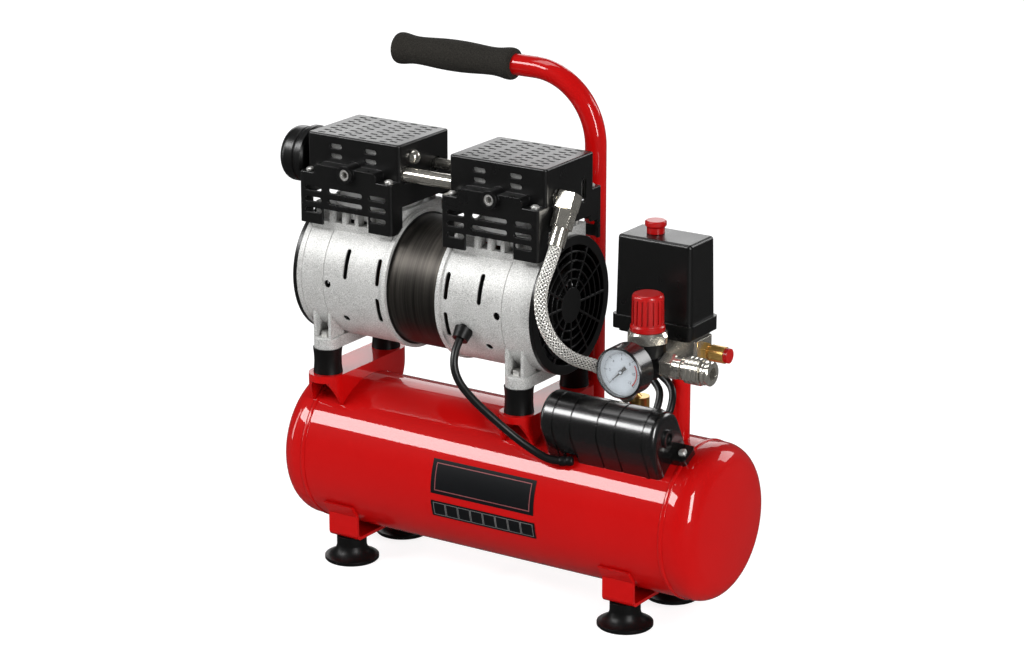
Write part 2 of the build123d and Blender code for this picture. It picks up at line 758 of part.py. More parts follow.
def bearing_web():
    """Open web across the barrel with the bearing's hub in its middle."""
    start = BEARING_START + (BEARING_WIDTH - WEB) / 2
    web = bar(along_motor(start), along_motor(start + WEB), case_bore + 1)
    window_r = (HUB_R + case_bore) / 2
    for index in range(WEB_WINDOWS):
        turn = radians(360 * (index + 0.5) / WEB_WINDOWS)
        y, z = window_r * cos(turn), window_r * sin(turn)
        web -= bar(along_motor(start, y, z), along_motor(start + WEB, y, z), (case_bore - HUB_R) * 0.38)
    web += bar(along_motor(BEARING_START - 2), along_motor(BEARING_START + BEARING_WIDTH), HUB_R)
    web -= bar(along_motor(0), along_motor(BEARING_START + 1), BEARING_R - 3)
    return web - bar(along_motor(BEARING_START), along_motor(BEARING_START + BEARING_WIDTH), BEARING_R + SLIP)


def crankcase(with_gland):
    """Die-cast end housing: barrel, cylinder neck, feet, bearing web and air slots."""
    x = MOTOR_X + CYLINDER_OFFSET
    mount_x = MOTOR_X + MOUNT_SPACING_X / 2
    body = bar(along_motor(CASE_START), along_motor(CASE_END), CASE_R)
    body += bar(along_motor(CASE_START), along_motor(CASE_START + CASE_FLANGE), CASE_FLANGE_R)
    body += bar(along_motor(CASE_END - CASE_LIP), along_motor(CASE_END), CASE_LIP_R)
    body -= pipe(along_motor(PARTING), along_motor(PARTING + PARTING_LINE), CASE_R + 1, CASE_R - PARTING_LINE)
    body += cylinder_neck(x)
    body += foot_bosses(mount_x)
    body -= bar(along_motor(CASE_START - 1), along_motor(CASE_END + 1), case_bore)
    body -= bar(along_motor(CASE_START - 1), along_motor(stator_half), STATOR_R + SLIP)
    body += bearing_web()
    body -= bar((x, 0, motor_z + ROD_SEAT_R), (x, 0, neck_top + 1), sleeve_r + SLIP)
    bite = neck_top - HEAD_BOLT_BITE
    for bolt_x, bolt_y in head_bolt_places()[4:]:
        body -= bar((bolt_x, bolt_y, bite), (bolt_x, bolt_y, neck_top + 1), HEAD_BOLT_R + SLIP)
    for y in (-mount_y, mount_y):
        body -= bar((mount_x, y, rubber_top - 1), (mount_x, y, boss_top + 1), MOUNT_BOLT_R + BOLT_ROOM)
    for side in (-1, 1):
        for offset, angle, length in VENT_SLOTS:
            plane = radial_plane(offset, angle, case_bore - 4, side)
            body -= extrude(plane * SlotOverall(length, SLOT_WIDTH), CASE_WALL + 8)
        for offset, angle in VENT_HOLES:
            plane = radial_plane(offset, angle, case_bore - 4, side)
            body -= extrude(plane * Circle(VENT_HOLE_R), CASE_WALL + 8)
    if with_gland:
        hole = gland_plane()
        body -= extrude(hole.offset(-3 * CASE_WALL) * Circle(GLAND_BORE_R + 1.5), 6 * CASE_WALL)
    return body


def stator_core():
    return pipe(along_motor(-stator_half), along_motor(stator_half), STATOR_R, ROTOR_R + AIR_GAP)


def stator_windings():
    """End turns of the coils, one ring at each end of the core."""
    inner, outer = WINDING_R
    ring = pipe(along_motor(stator_half), along_motor(stator_half + WINDING_LENGTH), outer, inner)
    ring = fillet(ring.edges().filter_by(GeomType.CIRCLE).group_by(Axis.X)[-1], 4)
    return group([ring, left_twin(ring)])


def motor_shaft():
    return bar(along_motor(-SHAFT_HALF), along_motor(SHAFT_HALF), SHAFT_R)


def rotor_core():
    half = stator_half - 1
    return pipe(along_motor(-half), along_motor(half), ROTOR_R, SHAFT_R + SLIP)


def shaft_bearings():
    start, end = along_motor(BEARING_START), along_motor(BEARING_START + BEARING_WIDTH)
    ring = pipe(start, end, BEARING_R, SHAFT_R + SLIP)
    return group([ring, left_twin(ring)])


def eccentrics():
    """Crank discs with their balance weights, half a turn apart."""
    start = CYLINDER_OFFSET - ECCENTRIC_WIDTH / 2
    end = CYLINDER_OFFSET + ECCENTRIC_WIDTH / 2
    weight_start = CYLINDER_OFFSET + ROD_WIDTH / 2 + TOP_CLEAR
    disc = bar(along_motor(start, CRANK_THROW), along_motor(end, CRANK_THROW), ECCENTRIC_R)
    disc += bar(along_motor(end), along_motor(weight_start), SHAFT_R + 4)
    weight = bar(along_motor(weight_start), along_motor(weight_start + BALANCE_WIDTH), BALANCE_R)
    weight_x = (MOTOR_X + weight_start, MOTOR_X + weight_start + BALANCE_WIDTH)
    weight -= block(weight_x, (0, BALANCE_R), (motor_z - BALANCE_R, motor_z + BALANCE_R))
    weight += bar(along_motor(weight_start), along_motor(weight_start + BALANCE_WIDTH), SHAFT_R + 4)
    disc += weight
    disc -= bar(along_motor(start - 1), along_motor(weight_start + BALANCE_WIDTH + 1), SHAFT_R + SLIP)
    return group([disc, mirror(left_twin(disc), about=Plane.XZ)])


def cooling_fans():
    """Axial fans: pitched flat blades round a hub."""
    hub = pipe(along_motor(FAN_START), along_motor(FAN_START + FAN_WIDTH), FAN_HUB_R, SHAFT_R + SLIP)
    blade_x = MOTOR_X + FAN_START + FAN_WIDTH / 2
    chord = FAN_WIDTH * 1.25
    reach = FAN_R - FAN_HUB_R + 2
    fan = hub
    for index in range(FAN_BLADES):
        middle = Pos(0, 0, FAN_HUB_R - 2 + reach / 2)
        blade = middle * Rot(0, 0, 90 - FAN_PITCH) * Box(FAN_BLADE, chord, reach)
        fan += Pos(blade_x, 0, motor_z) * Rot(360 * index / FAN_BLADES, 0, 0) * blade
    fan &= bar(along_motor(FAN_START), along_motor(FAN_START + FAN_WIDTH), FAN_R)
    return group([fan, left_twin(fan)])


def fan_cover():
    """Round grille with a plain rim and a lip that locates it inside the crankcase."""
    inner = COVER_RIM_R - COVER_RIM
    cover = pipe(along_motor(CASE_END), along_motor(cover_face), COVER_RIM_R, inner)
    lip_r = case_bore - SLIP
    cover += pipe(along_motor(CASE_END - COVER_LIP), along_motor(cover_face), lip_r, lip_r - COVER_LIP_WALL)
    grille_x = cover_face - GRILLE_THICK
    face = Circle(GRILLE_HUB_R)
    for radius in GRILLE_RINGS:
        face += Circle(radius) - Circle(radius - GRILLE_RING)
    reach = inner + 0.5
    for index in range(GRILLE_SPOKES):
        face += Rot(0, 0, 360 * index / GRILLE_SPOKES) * Pos(reach / 2, 0) * Rectangle(reach, GRILLE_SPOKE)
    plane = Plane(along_motor(grille_x), x_dir=(0, 1, 0), z_dir=(1, 0, 0))
    return cover + extrude(plane * face, GRILLE_THICK)


def piston():
    """Piston and rod in one piece, as on a wobble-piston pump, with its sealing cup."""
    x = MOTOR_X + CYLINDER_OFFSET
    near, far = CYLINDER_OFFSET - ROD_WIDTH / 2, CYLINDER_OFFSET + ROD_WIDTH / 2
    ring_r = ROD_SEAT_R + ROD_RING_WALL
    crown = sleeve_top - TOP_CLEAR - CRANK_THROW
    cup_low = crown - CUP_THICK
    disc_low = cup_low - PISTON_THICK
    rod = bar(along_motor(near), along_motor(far), ring_r)
    width, depth = ROD_SHANK
    shank_z = (motor_z + ROD_SEAT_R, disc_low + 1)
    rod += block((x - width / 2, x + width / 2), (-depth / 2, depth / 2), shank_z)
    rod -= bar(along_motor(near - 1), along_motor(far + 1), ROD_SEAT_R)
    rod += bar((x, 0, disc_low), (x, 0, cup_low), BORE_R - PISTON_CLEAR)
    return rod + bar((x, 0, cup_low), (x, 0, crown), BORE_R - CUP_CLEAR)


def cylinder_sleeves():
    sleeves = []
    for x in cylinder_x:
        sleeve = bar((x, 0, neck_top - SLEEVE_DROP), (x, 0, sleeve_top), sleeve_r)
        sleeve += bar((x, 0, neck_top), (x, 0, neck_top + SLEEVE_FLANGE), SLEEVE_FLANGE_R)
        sleeves.append(sleeve - bar((x, 0, neck_top - SLEEVE_DROP - 1), (x, 0, sleeve_top + 1), BORE_R))
    return group(sleeves)


def head_outline(x, low, high):
    return block((x - NECK_HALF_X, x + NECK_HALF_X), (-NECK_HALF_Y, NECK_HALF_Y), (low, high))


def valve_plates():
    plates = []
    for x in cylinder_x:
        plate = head_outline(x, sleeve_top, plate_z)
        for y in (-BORE_R / 2, BORE_R / 2):
            plate -= bar((x, y, sleeve_top - 1), (x, y, plate_z + 1), PLATE_PORT_R)
        for bolt_x, bolt_y in head_bolt_places():
            if abs(bolt_x - x) < NECK_HALF_X:
                low, high = (bolt_x, bolt_y, sleeve_top - 1), (bolt_x, bolt_y, plate_z + 1)
                plate -= bar(low, high, HEAD_BOLT_R + SLIP)
        plates.append(plate)
    return group(plates)


def cover_screw_places(x):
    return [(x + dx, dy) for dx in (-COVER_SCREW_X, COVER_SCREW_X) for dy in (-COVER_SCREW_Y, COVER_SCREW_Y)]


def cylinder_head(x, ports):
    """Finned head with two air chambers, ears for the cover's screws and side ports."""
    head = head_outline(x, plate_z, head_base_top)
    step = 2 * HEAD_FIN_HALF_Y / (HEAD_FINS - 1)
    fin_x = (x - HEAD_FIN_HALF_X, x + HEAD_FIN_HALF_X)
    for index in range(HEAD_FINS):
        fin_y = -HEAD_FIN_HALF_Y + index * step
        head += block(fin_x, (fin_y - HEAD_FIN / 2, fin_y + HEAD_FIN / 2), (head_base_top, head_top))
    ear_top = ledge_under - WELD_GAP
    for ear_x, ear_y in cover_screw_places(x):
        side = 1 if ear_y > 0 else -1
        reach = sorted((side * (NECK_HALF_Y - 1), ear_y))
        head += block((ear_x - EAR_R, ear_x + EAR_R), reach, (plate_z, ear_top))
        head += bar((ear_x, ear_y, ear_top - EAR_DEPTH), (ear_x, ear_y, ear_top), EAR_R)
    chamber_z = (plate_z, head_base_top - 4)
    chamber_x = (x - BORE_R, x + BORE_R)
    for low, high in ((-BORE_R * 0.75, -3), (3, BORE_R * 0.75)):
        head -= block(chamber_x, (low, high), chamber_z)
    for ear_x, ear_y in cover_screw_places(x):
        head -= bar((ear_x, ear_y, ear_top - EAR_DEPTH), (ear_x, ear_y, ear_top), COVER_SCREW_R + SLIP)
    for bolt_x, bolt_y in head_bolt_places():
        if abs(bolt_x - x) < NECK_HALF_X:
            low, high = (bolt_x, bolt_y, plate_z - 1), (bolt_x, bolt_y, head_base_top + 1)
            head -= bar(low, high, HEAD_BOLT_R + SLIP)
    for start, end, radius in ports:
        head -= bar(start, end, radius)
    return head


def plug_boss():
    """Boss of the left head that the plug screws into."""
    face = pipe_ends[0]
    tall = (head_base_top - 1, plug_z + PLUG_BOSS)
    return block((face - 2 * PLUG_BOSS, face), (PLUG_Y - PLUG_BOSS, PLUG_Y + PLUG_BOSS), tall)


def box_rounded(length, width, low, high, x, side_round, top_round):
    """Box with round upright edges and, where asked, round top edges."""
    solid = Pos(x, 0, (low + high) / 2) * Box(length, width, high - low)
    solid = fillet(solid.edges().filter_by(Axis.Z), side_round)
    if top_round:
        solid = fillet(solid.edges().group_by(Axis.Z)[-1], top_round)
    return solid


def cover_blank(x):
    """Outside of a head cover: hood, skirts, shoulders and the screw eye."""
    hood = box_rounded(HOOD_LENGTH, HOOD_WIDTH, skirt_bottom, hood_top, x, HOOD_ROUND, HOOD_ROUND / 2)
    hood += box_rounded(HOOD_LENGTH, SKIRT_WIDTH, skirt_bottom, skirt_ledge, x, SKIRT_ROUND, SKIRT_ROUND / 3)
    tall = shoulder_top - skirt_ledge
    shoulder = Pos(x, 0, shoulder_top - tall / 2 - 2) * Box(2 * SHOULDER_HALF, SKIRT_WIDTH, tall + 4)
    hood += fillet(shoulder.edges().filter_by(Axis.Y).group_by(Axis.Z)[-1], SHOULDER_ROUND)
    eye_x = x + EYE_OFFSET
    return hood + bar((eye_x, eye_y, eye_z), (eye_x, -HOOD_WIDTH / 2 + 1, eye_z), EYE_R)


def cover_room(x):
    """Everything open in a head cover: its inside, the notch, the low sides and room for the barrel."""
    inside_x = (x - HOOD_LENGTH / 2 + HOOD_WALL, x + HOOD_LENGTH / 2 - HOOD_WALL)
    across_x = (x - HOOD_LENGTH, x + HOOD_LENGTH)
    skirt_inner = skirt_y - HOOD_WALL
    side_y = skirt_y - SKIRT_RETURN
    room = block(inside_x, (-hood_inner_y, hood_inner_y), (skirt_bottom, hood_top - HOOD_WALL))
    room += block(inside_x, (-skirt_inner, skirt_inner), (skirt_bottom, ledge_under))
    room += block(across_x, (-side_y, side_y), (skirt_bottom, side_bottom))
    room += block(across_x, (side_y - 1, skirt_y - SKIRT_LIP), (skirt_bottom, side_bottom - SKIRT_LIP))
    room += block((x - NOTCH_HALF, x + NOTCH_HALF), (-SKIRT_WIDTH, SKIRT_WIDTH), (skirt_bottom, notch_top))
    return room + bar((across_x[0], 0, motor_z), (across_x[1], 0, motor_z), CASE_FLANGE_R + SKIRT_ROOM)


def front_slots():
    """Air slots through the front and back of a cover, drawn on a plane that looks backwards."""
    slots = []
    for rise in HOOD_SLOT_RISE:
        for side in (-1, 1):
            slots.append(Pos(side * HOOD_SLOT_X, -motor_z - rise) * SlotOverall(HOOD_SLOT_LENGTH, HOOD_SLOT))
    for rise in SKIRT_SLOT_RISE:
        for side in (-1, 1):
            slots.append(Pos(side * SKIRT_SLOT_X, -motor_z - rise) * SlotOverall(SKIRT_SLOT_SIDE, HOOD_SLOT))
        if rise > NOTCH_RISE:
            slots.append(Pos(0, -motor_z - rise) * SlotOverall(SKIRT_SLOT_CENTRE, HOOD_SLOT))
    return slots


def top_slots():
    """Four bands of short slots in the top of a cover, each band in two staggered columns."""
    slots = []
    start = -(TOP_SLOT_ROWS - 0.5) / 2 * TOP_SLOT_PITCH
    for band_x in TOP_SLOT_X:
        for row in range(TOP_SLOT_ROWS):
            y = start + row * TOP_SLOT_PITCH
            slots.append(Pos(band_x - TOP_SLOT_SPLIT, y) * Rectangle(*TOP_SLOT))
            slots.append(Pos(band_x + TOP_SLOT_SPLIT, y + TOP_SLOT_PITCH / 2) * Rectangle(*TOP_SLOT))
    return slots


def head_cover(x, openings):
    """Moulded air-guide cover: hood over the head, skirts front and back, slots and screw ledges."""
    hood = cover_blank(x) - cover_room(x)
    eye_x = x + EYE_OFFSET
    hood -= bar((eye_x, eye_y, eye_z), (eye_x, eye_y + 3 * EYE_PROUD, eye_z), EYE_BORE_R)
    plane = Plane((x, -SKIRT_WIDTH, 0), x_dir=(1, 0, 0), z_dir=(0, 1, 0))
    hood -= extrude(plane * Sketch(children=front_slots()), 2 * SKIRT_WIDTH)
    hood -= extrude(Plane((x, 0, hood_top - 2 * HOOD_WALL)) * Sketch(children=top_slots()), 3 * HOOD_WALL)
    for screw_x, screw_y in cover_screw_places(x):
        low, high = (screw_x, screw_y, ledge_under - 1), (screw_x, screw_y, skirt_ledge + 1)
        hood -= bar(low, high, COVER_SCREW_R + BOLT_ROOM)
    for opening in openings:
        hood -= opening
    return hood


def pan_screw(seat, axis, length):
    """Pan-head screw: its head stands on the seat, its shank runs back along the axis."""
    outline = (
        (0, -length),
        (COVER_SCREW_R, -length),
        (COVER_SCREW_R, 0),
        (COVER_SCREW_HEAD_R, 0),
        (COVER_SCREW_HEAD_R, COVER_SCREW_HEAD * 0.5),
        (COVER_SCREW_HEAD_R * 0.6, COVER_SCREW_HEAD),
        (0, COVER_SCREW_HEAD),
    )
    return turned(outline, seat, axis)


def cover_screws():
    """Screws of the head covers and of the capacitor box, and the metal bushes of the screw eyes."""
    screws = []
    for x in cylinder_x:
        for screw_x, screw_y in cover_screw_places(x):
            screws.append(pan_screw((screw_x, screw_y, skirt_ledge), (0, 0, 1), COVER_SCREW_LENGTH))
        eye_x = x + EYE_OFFSET
        front, back = (eye_x, eye_y + 0.8, eye_z), (eye_x, eye_y + 2.5 * EYE_PROUD, eye_z)
        screws.append(pipe(front, back, EYE_BORE_R - SLIP, EYE_BORE_R * 0.6))
    screws.append(pan_screw(lug_seat(), (0, *box_normal), LUG_SCREW))
    return group(screws)


def head_pipes():
    """Two tubes that join the heads."""
    return group(
        [
            pipe((pipe_ends[0], y, pipe_z), (pipe_ends[1], y, pipe_z), radius, radius - PIPE_WALL)
            for y, radius in (FRONT_PIPE, REAR_PIPE)
        ]
    )


def air_filter_base():
    """Neck and rim of the intake filter, turned towards -X."""
    bore = FILTER_NECK_R - FILTER_WALL
    rim_low = FILTER_NECK + FILTER_RIM
    outline = (
        (bore, 0),
        (FILTER_NECK_R, 0),
        (FILTER_NECK_R, FILTER_NECK - 4),
        (FILTER_RIM_R - 3, FILTER_NECK),
        (FILTER_RIM_R, FILTER_NECK + 2),
        (FILTER_RIM_R, rim_low),
        (bore, rim_low),
    )
    return turned(outline, (filter_face, FILTER_Y, filter_z), (-1, 0, 0))


def air_filter_cap():
    """Round cap of the intake filter with breathing holes in its end."""
    inner = FILTER_R - FILTER_WALL
    skin = Polyline(
        (inner, 0, 0),
        (FILTER_R + 0.7, 0, 0),
        (FILTER_R + 0.7, 0, 3),
        (FILTER_R - 1, 0, 4.5),
        (FILTER_R, 0, 6),
        (FILTER_R, 0, FILTER_LENGTH - FILTER_ROUND),
    )
    turn = FILTER_R - FILTER_ROUND, FILTER_LENGTH - FILTER_ROUND
    bulge = FILTER_ROUND / sqrt(2)
    crown = ThreePointArc(
        (FILTER_R, 0, turn[1]), (turn[0] + bulge, 0, turn[1] + bulge), (turn[0], 0, FILTER_LENGTH)
    )
    inside_end = FILTER_LENGTH - FILTER_WALL
    back = Polyline(
        (turn[0], 0, FILTER_LENGTH),
        (0, 0, FILTER_LENGTH),
        (0, 0, inside_end),
        (inner - FILTER_ROUND, 0, inside_end),
        (inner, 0, turn[1]),
        (inner, 0, 0),
    )
    cap = revolve(make_face(skin + crown + back), Axis.Z)
    for index in range(FILTER_HOLES):
        turn_angle = radians(360 * index / FILTER_HOLES)
        hole_x, hole_y = FILTER_R * 0.42 * cos(turn_angle), FILTER_R * 0.42 * sin(turn_angle)
        cap -= bar((hole_x, hole_y, inside_end - 1), (hole_x, hole_y, FILTER_LENGTH + 1), 2.2)
    return Plane((filter_face - FILTER_NECK - FILTER_RIM, FILTER_Y, filter_z), z_dir=(-1, 0, 0)) * cap


# Braided hose: from the elbow, down past the fan cover and back to the check valve.
# The points of all cords hold heights above the tank's top.
HOSE_POINTS = (
    (61.9, -62.0, 130.4),
    (66.5, -67.3, 106.3),
    (75.1, -61.1, 83.5),
    (85.9, -45.2, 67.5),
    (94.7, -29.7, 61.2),
)


def head_plug():
    """Domed plug of the left head; its head stands just outside the cover."""
    neck = HOOD_LENGTH / 2 - NECK_HALF_X + RUN
    high = neck + PLUG_HEAD_R
    slope = PLUG_HEAD_R * cos(radians(45))
    flat = Polyline((0, 0, high), (0, 0, 0), (PLUG_R, 0, 0), (PLUG_R, 0, neck), (PLUG_HEAD_R, 0, neck))
    dome = ThreePointArc((PLUG_HEAD_R, 0, neck), (slope, 0, neck + slope), (0, 0, high))
    plug = revolve(make_face(flat + dome), Axis.Z)
    return Plane((pipe_ends[0], PLUG_Y, plug_z), z_dir=(1, 0, 0)) * plug


def hose_fittings():
    """Outlet elbow, swivel nuts and crimped ferrules of the hose, and the plug of the left head."""
    cube = Plane(elbow, x_dir=(1, 0, 0), z_dir=-hose_down) * Box(ELBOW_SIZE, ELBOW_SIZE, ELBOW_SIZE)
    cube = chamfer(cube.edges(), 1)
    block_face = elbow_x - ELBOW_SIZE / 2
    stem = bar((elbow_face, ELBOW_Y, elbow_z), (elbow_x, ELBOW_Y, elbow_z), NIPPLE_R)
    stem += hex_bar((block_face - 3, ELBOW_Y, elbow_z), (block_face, ELBOW_Y, elbow_z), ELBOW_SIZE - 2)
    nut = hex_bar(nut_start, nut_end, HOSE_NUT_FLATS)
    ferrule = bar(nut_end, hose_start, FERRULE_R)
    low_ferrule = bar(hose_end, inlet_nut, FERRULE_R)
    low_nut = hex_bar(inlet_nut, inlet_face, HOSE_NUT_FLATS)
    return group([cube + stem, nut, ferrule, low_ferrule, low_nut, head_plug()])


def check_valve():
    """Brass non-return valve on the tank, with a slanted inlet."""
    seat = tank_top + BUNG_H
    low, high = (CHECK_VALVE_X, 0, seat), (CHECK_VALVE_X, 0, seat + CHECK_VALVE_HEX)
    valve = hex_bar(low, high, CHECK_VALVE_FLATS)
    valve += bar(high, (CHECK_VALVE_X, 0, check_valve_top), CHECK_VALVE_R)
    inlet = bar(inlet_face, valve_inlet, NIPPLE_R)
    return valve + inlet


def above_tank(points):
    """Points of a cord, lifted from heights above the tank's top."""
    return [(x, y, tank_top + up) for x, y, up in points]


def cord(points, radius, name):
    """Tube along straight runs joined by the largest tangent arcs that the runs allow."""
    route = [Vector(p) for p in points]
    runs = [b - a for a, b in zip(route, route[1:])]
    radii = []
    for before, after in zip(runs, runs[1:]):
        half_turn = radians(before.get_angle(after)) / 2
        radii.append(0.45 * min(before.length, after.length) / tan(half_turn))
    path = FilletPolyline(*route, radius=radii)
    solid = sweep(Plane(route[0], z_dir=runs[0]) * Circle(radius), path)
    section = pi * radius**2
    print(name, "radii", [round(r, 1) for r in radii], "length", round(path.length, 1))
    print(name, "volume", round(solid.volume, 1), "section times length", round(section * path.length, 1))
    return solid


def braided_hose():
    first, last = hose_start + hose_down * HOSE_LEAD_IN, hose_end - inlet_way * HOSE_LEAD_IN
    return cord((hose_start, first, *above_tank(HOSE_POINTS), last, hose_end), HOSE_R, "braided_hose")


gland_face = gland_plane().offset(GLAND_REACH)
LEAD_POINTS = (
    (-11.5, -80.5, 43.5),
    (6.0, -79.5, 26.5),
    (25.5, -74.5, 10.5),
    (43.5, -67.5, -5.0),
    (60.0, -62.0, -16.0),
    (74.5, -59.5, -21.0),
    (86.0, -54.6, -19.9),
)


def motor_lead():
    first = gland_face.offset(LEAD_IN).origin
    return cord((gland_face.origin, first, *above_tank(LEAD_POINTS)), LEAD_R, "motor_lead")


def box_point(across, up, x=0.0):
    """Point of the capacitor box's section: across its base and up from it."""
    base_y, base_z = box_base
    return (
        x,
        base_y + across * box_across[0] + up * box_normal[0],
        base_z + across * box_across[1] + up * box_normal[1],
    )


lead_entry = 27.0
entry_across, entry_up = BOX_HALF * cos(radians(lead_entry)), box_arc + BOX_HALF * sin(radians(lead_entry))
switch_lead_starts = [(x, SWITCH_GLAND_Y, manifold_top - SWITCH_GLAND) for x in SWITCH_GLAND_X]
SWITCH_LEAD_ENDS = (157.0, 169.5)
FRONT_LEAD_POINTS = ((132.2, -12.8, 60.2), (150.7, -17.0, 50.3))
REAR_LEAD_POINTS = ((148.0, -11.8, 58.5), (162.2, -14.2, 51.7))


def switch_lead(start, points, x, name):
    """Lead that leaves its gland straight down and meets the box square to its skin."""
    first = Vector(start) - Vector(0, 0, SWITCH_LEAD_IN)
    end = Vector(box_point(entry_across, entry_up, x))
    skin = end - Vector(box_point(0, box_arc, x))
    last = end + skin.normalized() * SWITCH_LEAD_IN
    return cord((start, first, *above_tank(points), last, end), SWITCH_LEAD_R, name)


def cable_glands():
    """Gland of the motor lead on the crankcase, and the two under the pressure switch."""
    plane = gland_plane()
    motor_gland = extrude(plane * Circle(GLAND_R), GLAND_REACH, taper=8)
    motor_gland += extrude(plane.offset(-1.5 * CASE_WALL) * Circle(GLAND_BORE_R + 1.2), 1.5 * CASE_WALL)
    motor_gland -= bar(along_motor(0), along_motor(CASE_END), CASE_R + WELD_GAP) - bar(
        plane.offset(-3 * CASE_WALL).origin, plane.origin, GLAND_BORE_R + 1.3
    )
    glands = [motor_gland]
    for x in SWITCH_GLAND_X:
        low, high = (x, SWITCH_GLAND_Y, manifold_top - SWITCH_GLAND), (x, SWITCH_GLAND_Y, manifold_top)
        glands.append(hex_bar(low, high, 2 * SWITCH_GLAND_R))
    return group(glands)


def handle_tube():
    """Bent carrying tube: post behind the motor and a level bar over the covers."""
    bend = Vector(HANDLE_X, handle_y, handle_z)
    far_end = GRIP_START - GRIP_LENGTH + GRIP_CAP
    path = FilletPolyline(
        (HANDLE_X, handle_y, handle_foot_z), bend, (far_end, handle_y, handle_z), radius=HANDLE_BEND_R
    )
    start = Plane((HANDLE_X, handle_y, handle_foot_z))
    tube = sweep(start * Circle(HANDLE_TUBE_R), path)
    tube -= sweep(start * Circle(HANDLE_TUBE_R - HANDLE_WALL), path)
    return tube - tank_cylinder(TANK_R + WELD_GAP)


def handle_grip():
    """Foam sleeve, flared at both ends and full in the middle."""
    bore = HANDLE_TUBE_R + SLIP
    length = GRIP_LENGTH
    edge = 2.5
    start = Line((bore, 0, 0), (GRIP_END_R - edge, 0, 0))
    flare = Polyline((GRIP_END_R - edge, 0, 0), (GRIP_END_R, 0, edge), (GRIP_END_R, 0, 3 * edge))
    belly = Spline(
        (GRIP_END_R, 0, 3 * edge),
        (GRIP_NECK_R, 0, 0.16 * length),
        (GRIP_END_R - 0.2, 0, 0.5 * length),
        (GRIP_NECK_R, 0, 0.84 * length),
        (GRIP_END_R, 0, length - 3 * edge),
    )
    close = Polyline(
        (GRIP_END_R, 0, length - 3 * edge),
        (GRIP_END_R, 0, length - edge),
        (GRIP_END_R - edge, 0, length),
        (0, 0, length),
        (0, 0, length - GRIP_CAP),
        (bore, 0, length - GRIP_CAP),
        (bore, 0, 0),
    )
    sleeve = revolve(make_face(start + flare + belly + close), Axis.Z)
    return Plane((GRIP_START, handle_y, handle_z), z_dir=(-1, 0, 0)) * sleeve


def drain_valve():
    body = hex_bar(drain_at(drain_seat), drain_at(drain_low), DRAIN_FLATS)
    return body - bar(drain_at(drain_seat - 1), drain_at(drain_low + 1), DRAIN_STEM_R + SLIP)


def drain_screw():
    """Hand screw that opens the drain, with a cross slot in its round head."""
    start = drain_low + RUN
    end = Vector(drain_at(start + DRAIN_SCREW))
    screw = bar(drain_at(start), end, DRAIN_SCREW_R)
    screw += bar(drain_at(drain_seat + 1), drain_at(start), DRAIN_STEM_R)
    slot = Plane(end, x_dir=(1, 0, 0), z_dir=end - Vector(drain_at(0)))
    return screw - slot * Box(2 * DRAIN_SCREW_R, 1.6, DRAIN_SCREW)


def switch_post():
    post = pipe((POST_X, 0, tank_z + TANK_R / 2), (POST_X, 0, post_top), POST_R, POST_BORE_R)
    return post - tank_cylinder(TANK_R + WELD_GAP)


def manifold():
    """Die-cast block under the switch: air in from the post, out to regulator and safety valve."""
    body = block(MANIFOLD_X, (-MANIFOLD_HALF_Y, MANIFOLD_HALF_Y), (post_top, manifold_top))
    body = fillet(body.edges().filter_by(Axis.Z), 3)
    body += bar((REGULATOR_X, 0, outlet_z), (REGULATOR_X, inlet_end, outlet_z), ARM_R)
    body -= bar((POST_X, 0, post_top), (POST_X, 0, outlet_z), POST_BORE_R)
    return body - bar((REGULATOR_X, 0, outlet_z), (REGULATOR_X, inlet_end, outlet_z), POST_BORE_R)


def switch_base():
    """Foot of the pressure switch with the lip that the cover stands in."""
    length, width, height = SWITCH_LIP
    lip = extrude(Plane((SWITCH_X, 0, lip_bottom)) * RectangleRounded(length, width, SWITCH_CORNER), height)
    step_length, step_width, step_height = SWITCH_STEP
    step_outline = RectangleRounded(step_length, step_width, SWITCH_CORNER)
    step = extrude(Plane((SWITCH_X, 0, manifold_top)) * step_outline, step_height)
    inner = RectangleRounded(length - 14, width - 14, SWITCH_CORNER / 2)
    return lip + step - extrude(Plane((SWITCH_X, 0, lip_bottom + 3)) * inner, height)


def switch_cover():
    """Tapered hollow cover with a hole for the knob's stem."""
    length, width, height = SWITCH_COVER
    taper = degrees(atan(SWITCH_TAPER / height))
    base = Plane((SWITCH_X, 0, lip_top))
    cover = extrude(base * RectangleRounded(length, width, SWITCH_CORNER), height, taper=taper)
    cover = fillet(cover.edges().group_by(Axis.Z)[-1], SWITCH_EDGE)
    inner = RectangleRounded(length - 2 * SWITCH_WALL, width - 2 * SWITCH_WALL, SWITCH_CORNER - SWITCH_WALL)
    cover -= extrude(base * inner, height - SWITCH_WALL, taper=taper)
    return cover - bar((KNOB_X, 0, lip_top), (KNOB_X, 0, switch_top + 1), KNOB_STEM_R + RUN)


def switch_knob():
    """Pull knob: a waisted cap on a stem."""
    outline = (
        (0, -KNOB_STEM),
        (KNOB_STEM_R, -KNOB_STEM),
        (KNOB_STEM_R, 0),
        (KNOB_NECK_R, 0),
        (KNOB_NECK_R, KNOB_HEIGHT * 0.45),
        (KNOB_R, KNOB_HEIGHT * 0.62),
        (KNOB_R, KNOB_HEIGHT * 0.9),
        (KNOB_R - 1.2, KNOB_HEIGHT),
        (0, KNOB_HEIGHT),
    )
    return turned(outline, (KNOB_X, 0, switch_top + RUN))


